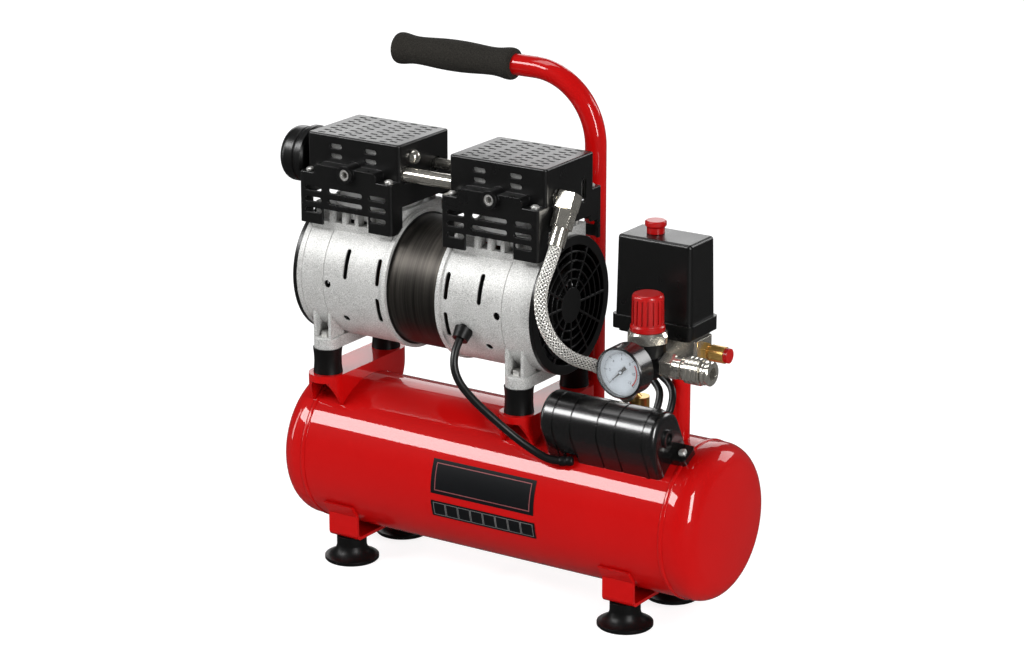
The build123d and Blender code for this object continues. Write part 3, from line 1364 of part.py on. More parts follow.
def regulator_body():
    """Pressure regulator: bell over a waist with ports to manifold, gauge and coupler."""
    bell_low = regulator_shoulder - regulator_bottom
    tall = regulator_top - regulator_bottom
    bell = turned(
        (
            (0, 0),
            (REGULATOR_WAIST_R - 2, 0),
            (REGULATOR_WAIST_R, 2),
            (REGULATOR_WAIST_R, bell_low - 4),
            (REGULATOR_R, bell_low),
            (REGULATOR_R, tall),
            (0, tall),
        ),
        (REGULATOR_X, REGULATOR_Y, regulator_bottom),
    )
    gauge_end = GAUGE_BACK_Y + 9
    bell += bar((REGULATOR_X, REGULATOR_Y, outlet_z), (REGULATOR_X, inlet_end, outlet_z), ARM_R)
    bell += bar((REGULATOR_X, REGULATOR_Y, gauge_z), (REGULATOR_X, gauge_end, gauge_z), ARM_R - 1)
    bell += bar((REGULATOR_X, REGULATOR_Y, outlet_z), (arm_end, REGULATOR_Y, outlet_z), ARM_R)
    top = (REGULATOR_X, REGULATOR_Y, regulator_top)
    return bell - bar((REGULATOR_X, REGULATOR_Y, regulator_shoulder), top, SPINDLE_R + RUN)


def regulator_collar():
    low, high = (REGULATOR_X, REGULATOR_Y, regulator_top), (REGULATOR_X, REGULATOR_Y, collar_top)
    collar = hex_bar(low, high, COLLAR_FLATS)
    collar &= turned(
        (
            (0, 0),
            (COLLAR_FLATS / 2 + 1.5, 0),
            (COLLAR_FLATS / 2 + 1.5, COLLAR * 0.6),
            (COLLAR_FLATS / 2 - 1, COLLAR),
            (0, COLLAR),
        ),
        low,
    )
    return collar - bar(low, high, SPINDLE_R + RUN)


def regulator_knob():
    """Ribbed pressure knob, slightly tapered, on its spindle."""
    low = collar_top + RUN
    tall = DIAL_KNOB_HEIGHT
    knob = turned(
        (
            (0, 0),
            (DIAL_KNOB_R, 0),
            (DIAL_KNOB_R, tall * 0.12),
            (DIAL_KNOB_TOP_R + 0.4, tall * 0.16),
            (DIAL_KNOB_TOP_R, tall),
            (0, tall),
        ),
        (REGULATOR_X, REGULATOR_Y, low),
    )
    knob = fillet(knob.edges().group_by(Axis.Z)[-1], DIAL_KNOB_ROUND)
    inner = DIAL_KNOB_TOP_R - DIAL_KNOB_GROOVE
    groove = block((inner, DIAL_KNOB_R), (-0.6, 0.6), (low + tall * 0.2, low + tall - 1.5 * DIAL_KNOB_ROUND))
    for index in range(DIAL_KNOB_RIBS):
        knob -= Pos(REGULATOR_X, REGULATOR_Y, 0) * Rot(0, 0, 360 * index / DIAL_KNOB_RIBS) * groove
    spindle_low = (REGULATOR_X, REGULATOR_Y, regulator_shoulder + 2)
    return knob + bar(spindle_low, (REGULATOR_X, REGULATOR_Y, low), SPINDLE_R)


def gauge_at(depth):
    """Point on the gauge's axis, so far in front of its back."""
    return (REGULATOR_X, GAUGE_BACK_Y - depth, gauge_z)


def gauge_case():
    inner = GAUGE_R - GAUGE_WALL
    case = turned(
        (
            (0, 0),
            (GAUGE_R - 1.5, 0),
            (GAUGE_R, 1.5),
            (GAUGE_R, GAUGE_DEPTH - 1),
            (GAUGE_R - 1, GAUGE_DEPTH),
            (inner, GAUGE_DEPTH),
            (inner, dial_face - GAUGE_DIAL),
            (0, dial_face - GAUGE_DIAL),
        ),
        gauge_at(0),
        (0, -1, 0),
    )
    return case + bar(gauge_at(-9), gauge_at(0), GAUGE_STEM_R)


def gauge_dial():
    disc = bar(gauge_at(dial_face - GAUGE_DIAL), gauge_at(dial_face), GAUGE_R - GAUGE_WALL - SLIP)
    pin = bar(gauge_at(dial_face), gauge_at(dial_face + GAUGE_WELL * 0.75), NEEDLE_BOSS_R / 2)
    return disc + pin


def gauge_needle():
    """Pointer with a broad tail, resting at the zero of the scale."""
    low = dial_face + GAUGE_WELL * 0.3
    plane = Plane(gauge_at(low), x_dir=(1, 0, 0), z_dir=(0, -1, 0))
    half = ((NEEDLE_LENGTH, 0), (0, 0.9), (-NEEDLE_TAIL, 1.7))
    pointer = make_face(Polyline(*half, (-NEEDLE_TAIL, -1.7), (0, -0.9), close=True))
    face = pointer + Circle(NEEDLE_BOSS_R) - Circle(NEEDLE_BOSS_R / 2 + SLIP)
    return extrude(plane * Rot(0, 0, NEEDLE_ZERO) * face, NEEDLE_THICK)


def gauge_lens():
    return bar(gauge_at(GAUGE_DEPTH - LENS_THICK), gauge_at(GAUGE_DEPTH - 0.3), GAUGE_R - GAUGE_WALL - SLIP)


def coupler_at(x):
    return (x, REGULATOR_Y, outlet_z)


def coupler_body():
    """Quick coupler: hexagon, collar, core and front ring with the socket's bore."""
    hex_length, flats = COUPLER_HEX
    hex_end = arm_end + hex_length
    collar_length, collar_r = COUPLER_BODY
    body = hex_bar(coupler_at(arm_end), coupler_at(hex_end), flats)
    body += bar(coupler_at(hex_end), coupler_at(hex_end + collar_length), collar_r)
    body += bar(coupler_at(hex_end), coupler_at(coupler_ring_x), COUPLER_CORE_R)
    ring_length, ring_r = COUPLER_RING
    body += turned(
        (
            (0, 0),
            (ring_r - 1, 0),
            (ring_r, 1),
            (ring_r, 2.2),
            (ring_r - 1.2, 3.2),
            (ring_r - 1.2, ring_length - 3),
            (ring_r, ring_length - 2),
            (ring_r, ring_length - 0.8),
            (ring_r - 0.8, ring_length),
            (0, ring_length),
        ),
        coupler_at(coupler_ring_x),
        (1, 0, 0),
    )
    return body - bar(coupler_at(coupler_end - COUPLER_BORE), coupler_at(coupler_end), COUPLER_BORE_R)


def coupler_sleeve():
    """Release sleeve that slides back along the coupler's core."""
    length, radius = COUPLER_SLEEVE
    outline = [(COUPLER_CORE_R + RUN, 0), (radius - 0.8, 0), (radius, 0.8)]
    step = (length - 2) / SLEEVE_GROOVES
    for index in range(SLEEVE_GROOVES):
        start = 1 + index * step
        outline += [(radius, start + step * 0.55), (radius - 0.7, start + step * 0.65)]
        outline += [(radius - 0.7, start + step * 0.85), (radius, start + step * 0.95)]
    outline += [(radius - 0.8, length), (COUPLER_CORE_R + RUN, length)]
    return turned(outline, coupler_at(coupler_ring_x - RUN - length), (1, 0, 0))


def safety_at(x):
    return (x, 0, outlet_z)


def safety_valve_body():
    """Brass relief valve screwed into the manifold."""
    hex_end = safety_x + SAFETY_HEX
    valve = hex_bar(safety_at(safety_x), safety_at(hex_end), SAFETY_FLATS)
    valve += bar(safety_at(hex_end), safety_at(safety_body_x), SAFETY_NECK[1])
    valve += bar(safety_at(safety_body_x), safety_at(safety_end), SAFETY_BODY[1])
    stem_length, stem_r = SAFETY_STEM
    return valve - bar(safety_at(safety_end - stem_length - 1), safety_at(safety_end), stem_r + RUN)


def safety_valve_cap():
    length, radius = SAFETY_CAP
    stem_length, stem_r = SAFETY_STEM
    start = safety_end + RUN
    cap = bar(safety_at(start), safety_at(start + length), radius)
    return cap + bar(safety_at(start - stem_length), safety_at(start), stem_r)


def box_section(inset):
    """Outline of the capacitor box: straight sides with a round top, its skin moved inwards."""
    half = BOX_HALF - inset
    low = -BOX_HALF
    corners = ((half, box_arc), (half, low), (-half, low), (-half, box_arc))
    sides = Polyline(*[box_point(*corner)[1:] for corner in corners])
    top = ThreePointArc(sides @ 1, box_point(0, box_arc + half)[1:], sides @ 0)
    return make_face(sides + top)


def lug_seat():
    """Where the capacitor box's screw stands on its lug."""
    length, width, height = BOX_LUG
    return box_point(4, height, BOX_X[1] + length / 2 - 2)


def box_lug():
    """Rounded lug at the right end of the capacitor box."""
    length, width, height = BOX_LUG
    middle = box_point(4, 0, BOX_X[1] + length / 2 - 5)
    plane = Plane(middle, x_dir=(1, 0, 0), z_dir=(0, *box_normal))
    return extrude(plane.offset(-height) * RectangleRounded(length, width, BOX_LUG_ROUND), 2 * height)


def capacitor_box():
    """Ribbed cover over the motor capacitor, seated on the shoulder of the tank."""
    start, end = BOX_X
    shell = extrude(Plane.YZ.offset(start) * box_section(0), end - start)
    shell = fillet(shell.edges().filter_by(GeomType.CIRCLE), BOX_ROUND)
    bead_x, bead_width, bead_proud = BOX_BEAD
    shell += extrude(Plane.YZ.offset(start + bead_x) * box_section(-bead_proud), bead_width)
    shell += box_lug()
    groove_width, groove_depth = BOX_GROOVE
    ring = box_section(0) - box_section(groove_depth)
    for offset in BOX_GROOVES:
        shell -= extrude(Plane.YZ.offset(start + offset) * ring, groove_width)
    boss_r, boss_proud, boss_bore = BOX_BOSS
    boss_low, boss_high = box_point(0, box_arc, end - 1), box_point(0, box_arc, end + boss_proud)
    shell += bar(boss_low, boss_high, boss_r)
    shell -= bar(boss_low, boss_high, boss_bore)
    inner = Plane.YZ.offset(start + BOX_WALL) * box_section(BOX_WALL)
    shell -= extrude(inner, end - start - 2 * BOX_WALL)
    notch_x, notch_width, notch_up = BOX_NOTCH
    notch_plane = Plane(box_point(-BOX_HALF, 0), x_dir=(1, 0, 0), z_dir=(0, *box_normal))
    notch = notch_plane * Box(notch_width, 4 * BOX_WALL, 2 * notch_up)
    shell -= Pos(start + notch_x + notch_width / 2, 0, 0) * notch
    seat = Vector(lug_seat())
    shell -= bar(seat, seat - Vector(0, *box_normal) * (LUG_SCREW + BOLT_ROOM), COVER_SCREW_R + SLIP)
    valve_room = bar((CHECK_VALVE_X, 0, tank_z), (CHECK_VALVE_X, 0, check_valve_top), BUNG_R + 2)
    return shell - valve_room - tank_cylinder(TANK_R + WELD_GAP)


def capacitor():
    middle = (BOX_X[0] + BOX_X[1]) / 2
    radius = BOX_HALF - BOX_WALL - RUN
    return bar(
        box_point(0, box_arc, middle - CAPACITOR_LENGTH / 2),
        box_point(0, box_arc, middle + CAPACITOR_LENGTH / 2),
        radius,
    )


def wall_hole(x, y, z, radius):
    """Round opening through an end wall of a cover."""
    return bar((x - 2 * HOOD_WALL, y, z), (x + 2 * HOOD_WALL, y, z), radius + WALL_ROOM)


def wall_slot(x):
    """Upright air slot through an end wall of a cover."""
    y, rise, tall, wide = WALL_SLOT
    plane = Plane((x - 2 * HOOD_WALL, y, motor_z + rise), x_dir=(0, 0, 1), z_dir=(1, 0, 0))
    return extrude(plane * SlotOverall(tall, wide), 4 * HOOD_WALL)


def all_pieces():
    left_x, right_x = cylinder_x
    half = HOOD_LENGTH / 2
    pipes = (FRONT_PIPE, REAR_PIPE)
    left_openings = [wall_hole(left_x + half, y, pipe_z, radius) for y, radius in pipes]
    left_openings.append(wall_hole(left_x + half, PLUG_Y, plug_z, PLUG_R))
    left_openings.append(wall_hole(left_x - half, FILTER_Y, filter_z, FILTER_NECK_R))
    right_openings = [wall_hole(right_x - half, y, pipe_z, radius) for y, radius in pipes]
    right_openings.append(wall_hole(right_x + half, ELBOW_Y, elbow_z, ELBOW_SIZE / 2))
    right_openings.append(wall_slot(right_x + half))
    depth = 12.0
    left_ports = [
        ((pipe_ends[0] - depth, y, pipe_z), (pipe_ends[0], y, pipe_z), radius - PIPE_WALL)
        for y, radius in pipes
    ]
    left_ports.append(
        ((filter_face, FILTER_Y, filter_z), (filter_face + depth, FILTER_Y, filter_z), NIPPLE_R - 1)
    )
    right_ports = [
        ((pipe_ends[1], y, pipe_z), (pipe_ends[1] + depth, y, pipe_z), radius - PIPE_WALL)
        for y, radius in pipes
    ]
    right_case = crankcase(True)
    right_fan_cover = fan_cover()
    right_piston = piston()
    front_start, rear_start = switch_lead_starts
    front_x, rear_x = SWITCH_LEAD_ENDS
    return {
        "tank_shell": tank_shell(),
        "tank_heads": tank_heads(),
        "foot_brackets": foot_brackets(),
        "rubber_feet": rubber_feet(),
        "foot_bolts": foot_bolts(),
        "mount_saddles": mount_saddles(),
        "rubber_mounts": rubber_mounts(),
        "pump_bolts": pump_bolts(),
        "handle_tube": handle_tube(),
        "handle_grip": handle_grip(),
        "drain_valve": drain_valve(),
        "drain_screw": drain_screw(),
        "check_valve": check_valve(),
        "switch_post": switch_post(),
        "manifold": manifold(),
        "switch_base": switch_base(),
        "switch_cover": switch_cover(),
        "switch_knob": switch_knob(),
        "regulator_body": regulator_body(),
        "regulator_collar": regulator_collar(),
        "regulator_knob": regulator_knob(),
        "gauge_case": gauge_case(),
        "gauge_dial": gauge_dial(),
        "gauge_needle": gauge_needle(),
        "gauge_lens": gauge_lens(),
        "coupler_body": coupler_body(),
        "coupler_sleeve": coupler_sleeve(),
        "safety_valve_body": safety_valve_body(),
        "safety_valve_cap": safety_valve_cap(),
        "capacitor_box": capacitor_box(),
        "capacitor": capacitor(),
        "crankcase_left": left_twin(crankcase(False)),
        "crankcase_right": right_case,
        "stator_core": stator_core(),
        "stator_windings": stator_windings(),
        "motor_shaft": motor_shaft(),
        "rotor_core": rotor_core(),
        "shaft_bearings": shaft_bearings(),
        "eccentrics": eccentrics(),
        "cooling_fans": cooling_fans(),
        "fan_cover_left": left_twin(right_fan_cover),
        "fan_cover_right": right_fan_cover,
        "piston_left": left_twin(right_piston),
        "piston_right": right_piston,
        "cylinder_sleeves": cylinder_sleeves(),
        "valve_plates": valve_plates(),
        "cylinder_head_left": cylinder_head(left_x, left_ports) + plug_boss(),
        "cylinder_head_right": cylinder_head(right_x, right_ports),
        "head_cover_left": head_cover(left_x, left_openings),
        "head_cover_right": head_cover(right_x, right_openings),
        "cover_screws": cover_screws(),
        "head_pipes": head_pipes(),
        "air_filter_base": air_filter_base(),
        "air_filter_cap": air_filter_cap(),
        "hose_fittings": hose_fittings(),
        "braided_hose": braided_hose(),
        "cable_glands": cable_glands(),
        "motor_lead": motor_lead(),
        "switch_lead_front": switch_lead(front_start, FRONT_LEAD_POINTS, front_x, "switch_lead_front"),
        "switch_lead_rear": switch_lead(rear_start, REAR_LEAD_POINTS, rear_x, "switch_lead_rear"),
    }


os.makedirs("parts", exist_ok=True)
for node, shape in all_pieces().items():
    export_step(to_frame * shape, f"parts/{node}.step")
print("origin moved by", to_frame.position)
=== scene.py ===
# %% [markdown]
# This lesson dresses the CAD model of a small air compressor. A solid with the right shape only gets
# a finish here. Cords, the braid, foam, thin plates and the gauge's marks are modelled anew, because
# Blender does those better.

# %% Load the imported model
import json
from math import cos, degrees, pi, radians, sin, tan

import bpy
from mathutils import Matrix, Vector


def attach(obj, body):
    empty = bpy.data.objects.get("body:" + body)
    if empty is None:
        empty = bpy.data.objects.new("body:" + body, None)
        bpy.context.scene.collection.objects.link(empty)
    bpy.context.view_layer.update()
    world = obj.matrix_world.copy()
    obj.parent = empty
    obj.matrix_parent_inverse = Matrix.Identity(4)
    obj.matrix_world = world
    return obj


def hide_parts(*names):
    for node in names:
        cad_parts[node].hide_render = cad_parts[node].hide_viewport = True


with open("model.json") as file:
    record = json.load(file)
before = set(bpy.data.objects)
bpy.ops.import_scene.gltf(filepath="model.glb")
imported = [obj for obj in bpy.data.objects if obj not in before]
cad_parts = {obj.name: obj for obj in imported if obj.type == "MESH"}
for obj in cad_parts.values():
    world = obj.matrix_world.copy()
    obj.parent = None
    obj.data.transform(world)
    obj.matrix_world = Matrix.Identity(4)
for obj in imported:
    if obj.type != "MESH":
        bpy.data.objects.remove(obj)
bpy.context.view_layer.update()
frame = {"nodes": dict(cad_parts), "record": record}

print("nodes loaded:", len(frame["nodes"]))

# %% [markdown]
# The compressor's pieces were drawn in millimetres about the middle of the tank, and the whole part
# was then moved so that its box stands over the origin. Every place below is written in those tank
# millimetres, because they are easy to picture, and `at` turns them into the scene's metres.

# %% Tank millimetres to scene metres
MM = 0.001
TANK_TO_SCENE = Vector((5.3, 4.75, 0.0))
TANK_AXIS_Z = 94.5
TANK_R = 69.0


def at(x, y, z):
    """Point in the scene, in metres, from tank millimetres."""
    return (Vector((x, y, z)) + TANK_TO_SCENE) * MM


print("tank axis at", at(0, 0, TANK_AXIS_Z))

# %% [markdown]
# The photograph was taken with a long lens from the front right and a little above. The camera here
# stands where a fit of the tank, the motor and the feet put it, and looks at one point on the object,
# so nothing has to be turned by hand: a tracking quaternion aims it.

# %% Camera at the photograph's angle
VIEW_AZIMUTH = radians(33.21)
VIEW_HEIGHT = radians(17.25)
VIEW_DISTANCE = 2.8156
LENS = 113.82
SENSOR_WIDTH = 36.0
SIGHT_LIMIT = 60.0

aim = at(-6.8, 0, 237)
away = Vector((
    sin(VIEW_AZIMUTH) * cos(VIEW_HEIGHT),
    -cos(VIEW_AZIMUTH) * cos(VIEW_HEIGHT),
    sin(VIEW_HEIGHT),
))
camera_data = bpy.data.cameras.new("photo_camera")
camera_data.lens = LENS
camera_data.sensor_width = SENSOR_WIDTH
camera_data.clip_end = SIGHT_LIMIT
camera = bpy.data.objects.new("photo_camera", camera_data)
camera.location = aim + away * VIEW_DISTANCE
camera.rotation_euler = away.to_track_quat("Z", "Y").to_euler()
bpy.context.scene.collection.objects.link(camera)
bpy.context.scene.camera = camera
bpy.context.scene.view_settings.view_transform = "Standard"
print("camera at", camera.location)

# %% [markdown]
# A finish is a node tree, and linking its nodes by hand takes many lines. Shader maths reads best as
# plain expressions, so `Wire` wraps one output socket, and its operators add Math nodes: `1 - mask`
# works.

# %% Wires
class Wire:
    """One shader socket that takes part in Python maths."""

    def __init__(self, finish, socket):
        self.finish = finish
        self.socket = socket

    def maths(self, operation, first, second):
        return self.finish.node("ShaderNodeMath", {"operation": operation}, {0: first, 1: second})

    def __add__(self, other):
        return self.maths("ADD", self, other)

    def __radd__(self, other):
        return self.maths("ADD", other, self)

    def __sub__(self, other):
        return self.maths("SUBTRACT", self, other)

    def __rsub__(self, other):
        return self.maths("SUBTRACT", other, self)

    def __mul__(self, other):
        return self.maths("MULTIPLY", self, other)

    def __rmul__(self, other):
        return self.maths("MULTIPLY", other, self)

    def __gt__(self, other):
        return self.maths("GREATER_THAN", self, other)


print("wires ready")

# %% [markdown]
# `Finish` is one material. What is the same all over the surface is set on the shader's own sockets.
# Every other node comes from the one method `node`. Real edges are never knife-sharp, so `bump` can
# take an edge radius, and a Bevel node then rounds the edges in the light.

# %% Finishes
EDGE_SAMPLES = 4
FINISHES = {}


class Finish:
    """A procedural material around one Principled shader."""

    def __init__(self, name, **constants):
        self.name = name
        self.material = bpy.data.materials.new(name)
        self.material.use_nodes = True
        self.tree = self.material.node_tree
        self.shader = self.tree.nodes["Principled BSDF"]
        for key, value in constants.items():
            socket = key.replace("_", " ").title().replace("Ior", "IOR")
            self.shader.inputs[socket].default_value = value

    def node(self, kind, settings=None, inputs=None, output=0):
        """Add a node: its settings first, then the values or links of its sockets."""
        node = self.tree.nodes.new(kind)
        for key, value in (settings or {}).items():
            setattr(node, key, value)
        for key, value in (inputs or {}).items():
            if isinstance(value, Wire):
                self.tree.links.new(value.socket, node.inputs[key])
            else:
                node.inputs[key].default_value = value
        return Wire(self, node.outputs[output])

    def place(self):
        """Object coordinates, which are the scene's metres."""
        return self.node("ShaderNodeTexCoord", output="Object")

    def noise(self, scale, detail=3.0, where=None):
        inputs = {"Vector": where or self.place(), "Scale": scale, "Detail": detail}
        return self.node("ShaderNodeTexNoise", None, inputs)

    def mix(self, factor, low, high):
        """Colour between two colours."""
        inputs = {"Factor": factor, "A": low, "B": high}
        return self.node("ShaderNodeMix", {"data_type": "RGBA"}, inputs, output="Result")

    def bump(self, height, strength, distance, edge=0.0):
        """Bump from a height; an edge radius also rounds sharp edges in the light."""
        inputs = {"Height": height, "Strength": strength, "Distance": distance}
        if edge:
            inputs["Normal"] = self.node(
                "ShaderNodeBevel", {"samples": EDGE_SAMPLES}, {"Radius": edge}
            )
        self.feed("Normal", self.node("ShaderNodeBump", None, inputs))

    def feed(self, socket, wire):
        self.tree.links.new(wire.socket, self.shader.inputs[socket])

    def keep(self):
        """Put the material where the pieces find it by name."""
        FINISHES[self.name] = self.material


print("finish helpers ready")

# %% [markdown]
# The tank, brackets, saddles and handle share one bright red gloss paint. Sprayed paint is never quite
# flat: a soft noise gives the faint orange peel, and a slow noise lets the colour drift a little. The
# gloss is a clear coat over a dull red, as on the real tank, so highlights stay white.

# %% Red gloss paint
RED = (0.45, 0.002, 0.002, 1)
RED_DEEP = (0.40, 0.001, 0.001, 1)


def red_paint():
    finish = Finish(
        "red_paint", roughness=0.5, specular_ior_level=0.05, coat_weight=0.75, coat_roughness=0.04
    )
    drift = finish.noise(scale=14, detail=2)
    orange_peel = finish.noise(scale=420, detail=2)
    finish.feed("Base Color", finish.mix(drift, RED_DEEP, RED))
    finish.bump(orange_peel, strength=0.12, distance=0.5 * MM, edge=0.6 * MM)
    finish.keep()


red_paint()
print("finishes:", *FINISHES)

# %% [markdown]
# The crankcases and heads are die castings, blasted to an even satin grey. Blasted metal scatters light
# almost like paint, so it is only partly metallic. A fine noise gives the grain of the skin. Inside the
# barrel the colour is painted dark as shade, which the distance from the motor's axis picks out.

# %% Cast aluminium
CASE_R = 60.5
CASE_AXIS = at(0, 0, 262.9)
PAINTED_SHADE_DEPTH = 1.2
# Painted shade: the dark colour put on the inside of the barrel.
PAINTED_SHADE_INSIDE = (0.012, 0.012, 0.012, 1)
GRAIN_DARK = (0.26, 0.26, 0.25, 1)
GRAIN_PALE = (0.70, 0.70, 0.685, 1)


def cast_aluminium():
    finish = Finish("cast_aluminium", metallic=0.3)
    cloud = finish.noise(scale=60)
    grain = finish.noise(scale=1150)
    skin = finish.mix(cloud * 0.4 + grain * 2.2 - 0.8, GRAIN_DARK, GRAIN_PALE)
    from_axis = finish.node(
        "ShaderNodeVectorMath", {"operation": "MULTIPLY_ADD"},
        {0: finish.place(), 1: (0, 1, 1), 2: (0, -CASE_AXIS.y, -CASE_AXIS.z)},
    )
    reach = finish.node(
        "ShaderNodeVectorMath", {"operation": "LENGTH"}, {0: from_axis}, output="Value"
    )
    # Painted shade: faces nearer the motor's axis than the outer wall, inside the barrel and its slots,
    # are painted dark.
    outside = reach > (CASE_R - PAINTED_SHADE_DEPTH) * MM
    finish.feed("Base Color", finish.mix(outside, PAINTED_SHADE_INSIDE, skin))
    finish.feed("Roughness", grain * 0.3 + 0.3)
    finish.bump(grain, strength=0.5, distance=0.4 * MM, edge=0.6 * MM)
    finish.keep()


cast_aluminium()
print("finishes:", *FINISHES)

# %% [markdown]
# Black parts differ mostly in gloss: the moulded covers have a fine spark-eroded grain, the capacitor
# cover is polished, and rubber is dull. One function makes them all, so that only what differs is
# written down. Red knobs and the white dial are moulded too.

# %% Moulded plastics and rubber
BLACK = (0.004, 0.004, 0.004)
SATIN_BLACK = (0.0045, 0.0045, 0.0045)


def darker(colour, share):
    return tuple(share * part for part in colour)


def moulded(name, colour, roughness, grain, coat=0.0, edge=0.5, shine=0.4):
    """Moulded plastic with a grain of the given strength; the edge radius is in millimetres."""
    finish = Finish(name, specular_ior_level=shine, coat_weight=coat, coat_roughness=0.08)
    cloud = finish.noise(scale=35)
    finish.feed("Base Color", finish.mix(cloud, (*darker(colour, 0.8), 1), (*colour, 1)))
    finish.feed("Roughness", cloud * 0.1 + (roughness - 0.05))
    finish.bump(finish.noise(scale=1500, detail=2), grain, distance=0.3 * MM, edge=edge * MM)
    finish.keep()


moulded("black_plastic", SATIN_BLACK, roughness=0.29, grain=0.2, edge=0.9)
moulded("gloss_black", BLACK, roughness=0.25, grain=0.06, coat=0.3, shine=0.8)
moulded("black_rubber", BLACK, roughness=0.38, grain=0.12, shine=0.2)
moulded("cable_black", BLACK, roughness=0.34, grain=0.05, edge=0.0)
moulded("red_plastic", (0.40, 0.003, 0.003), roughness=0.3, grain=0.04, coat=0.15)
moulded("dial_white", (0.46, 0.51, 0.56), roughness=0.45, grain=0.01, edge=0.0)
print("finishes:", *FINISHES)

# %% [markdown]
# The grip's foam is full of small pores. A smooth Voronoi pattern is a good likeness of pores that
# touch, and a noise over it keeps them from looking alike. Both drive the colour and the bump.

# %% Foam
FOAM_DARK = (0.006, 0.0055, 0.0045, 1)
FOAM_PALE = (0.034, 0.031, 0.026, 1)


def foam():
    finish = Finish("grip_foam", roughness=0.95, specular_ior_level=0.2)
    where = finish.place()
    pores = finish.node(
        "ShaderNodeTexVoronoi", {"feature": "SMOOTH_F1"}, {"Vector": where, "Scale": 900.0}
    )
    cloud = finish.noise(scale=1000, detail=4, where=where)
    shade = cloud * 1.6 - 0.45 + pores * 0.3
    finish.feed("Base Color", finish.mix(shade, FOAM_DARK, FOAM_PALE))
    finish.bump(pores + cloud, strength=0.7, distance=0.8 * MM)
    finish.keep()


foam()
print("finishes:", *FINISHES)

# %% [markdown]
# Plated and turned metals get their own tint and a roughness that wanders a little, as tool marks and
# handling leave it. They aren't wholly metallic: a part of the light scatters, as on a worn skin.

# %% Metals
def metal(name, colour, roughness, grain=0.08, edge=0.3, metallic=0.72):
    """Plated or turned metal; the edge radius is in millimetres."""
    finish = Finish(name, metallic=metallic)
    cloud = finish.noise(scale=90)
    finish.feed("Base Color", finish.mix(cloud, (*darker(colour, 0.85), 1), (*colour, 1)))
    finish.feed("Roughness", cloud * 0.12 + (roughness - 0.06))
    finish.bump(finish.noise(scale=1400, detail=2), grain, distance=0.1 * MM, edge=edge * MM)
    finish.keep()


metal("zinc_steel", (0.74, 0.73, 0.70), roughness=0.32)
metal("nickel", (0.72, 0.69, 0.62), roughness=0.17, metallic=0.9)
metal("brass", (0.72, 0.44, 0.13), roughness=0.24)
metal("steel_braid", (0.88, 0.87, 0.82), roughness=0.25, edge=0.0, metallic=0.6)
# Plain aluminium is pale, and is painted brighter still as painted light on the castings inside the
# covers, where the lamps hardly reach.
metal("aluminium_plain", (0.92, 0.92, 0.91), roughness=0.35, metallic=0.2)
metal("bright_steel", (0.74, 0.74, 0.74), roughness=0.2)
metal("iron", (0.2, 0.2, 0.21), roughness=0.5)
metal("copper", (0.55, 0.2, 0.07), roughness=0.42, grain=0.3)
print("finishes:", *FINISHES)

# %% [markdown]
# The stator is a stack of thin black sheets, seen edge on. Modelling each sheet would cost a great many
# faces, so a noise that changes only along X draws their edges. The gauge's lens is nearly clear: a low
# alpha lets the dial through, and a thin coat keeps a glint on it.

# %% Stator sheets and lens
ALONG_X = (1, 0.02, 0.02)
SHEET_DARK = (0.022, 0.020, 0.018, 1)
SHEET_PALE = (0.075, 0.068, 0.060, 1)
LENS_COOL = (0.93, 0.95, 0.96, 1)
LENS_CLEAR = (0.98, 0.99, 1.0, 1)


def stacked_sheets():
    finish = Finish("black_core", metallic=0.9)
    along = finish.node(
        "ShaderNodeVectorMath", {"operation": "MULTIPLY"}, {0: finish.place(), 1: ALONG_X}
    )
    sheets = finish.noise(scale=420, where=along)
    finish.feed("Base Color", finish.mix(sheets * 2 - 0.5, SHEET_DARK, SHEET_PALE))
    finish.feed("Roughness", sheets * 0.16 + 0.36)
    finish.bump(sheets, strength=0.12, distance=0.3 * MM)
    finish.keep()


def clear_lens():
    finish = Finish("clear_lens", roughness=0.04, alpha=0.05, coat_weight=0.2)
    tint = finish.mix(finish.noise(scale=40, detail=1), LENS_COOL, LENS_CLEAR)
    finish.feed("Base Color", tint)
    finish.keep()


stacked_sheets()
clear_lens()
print("finishes:", *FINISHES)

# %% [markdown]
# The record says which finish each node of the CAD model wears. A CAD node whose shape is right stays
# as it is and only takes the new material.

# %% Dress the CAD nodes
slot_of = {entry["node"]: entry["material_slot"] for entry in frame["record"]["subparts"]}


def dress(piece, finish):
    piece.data.materials.clear()
    piece.data.materials.append(FINISHES[finish])


for node, piece in frame["nodes"].items():
    dress(piece, slot_of[node])
print("dressed", len(slot_of), "nodes in", len(set(slot_of.values())), "finishes")

# %% [markdown]
# Pieces modelled here start from a primitive or a curve and are shaped with operators, as by hand. An
# operator acts on everything that is selected, so each piece starts with nothing selected. When it is
# done, its place goes into its mesh, and it rides on the compressor's fixed body.

# %% Helpers for new pieces
BODY = "compressor"


def start_fresh():
    bpy.ops.object.select_all(action="DESELECT")


def make_active(piece):
    piece.select_set(True)
    bpy.context.view_layer.objects.active = piece


def add_to_part(piece, finish):
    """Dress a new piece and let it ride."""
    dress(piece, finish)
    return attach(piece, BODY)


def settle(name, finish):
    """Name the active piece, put its place into its mesh, and add it to the part."""
    piece = bpy.context.object
    piece.name = name
    bpy.ops.object.transform_apply(location=True, rotation=True, scale=True)
    return add_to_part(piece, finish)


def apply_modifier(kind, **settings):
    """Add a modifier to the active piece with these settings, and apply it."""
    modifier = bpy.context.object.modifiers.new(kind.lower(), kind)
    for key, value in settings.items():
        setattr(modifier, key, value)
    bpy.ops.object.modifier_apply(modifier=modifier.name)


print("new pieces ride on", BODY)

# %% [markdown]
# The leads and the hose are lengths of something flexible. A mesh tube would have to be bent by hand,
# while a NURBS curve through a few control points is smooth by itself. The points are those of the CAD
# tube, and a round bevel gives the curve its thickness.

# %% Cord curves
CURVE_STEPS = 40
BEVEL_STEPS = 5
CURVE_ORDER = 3


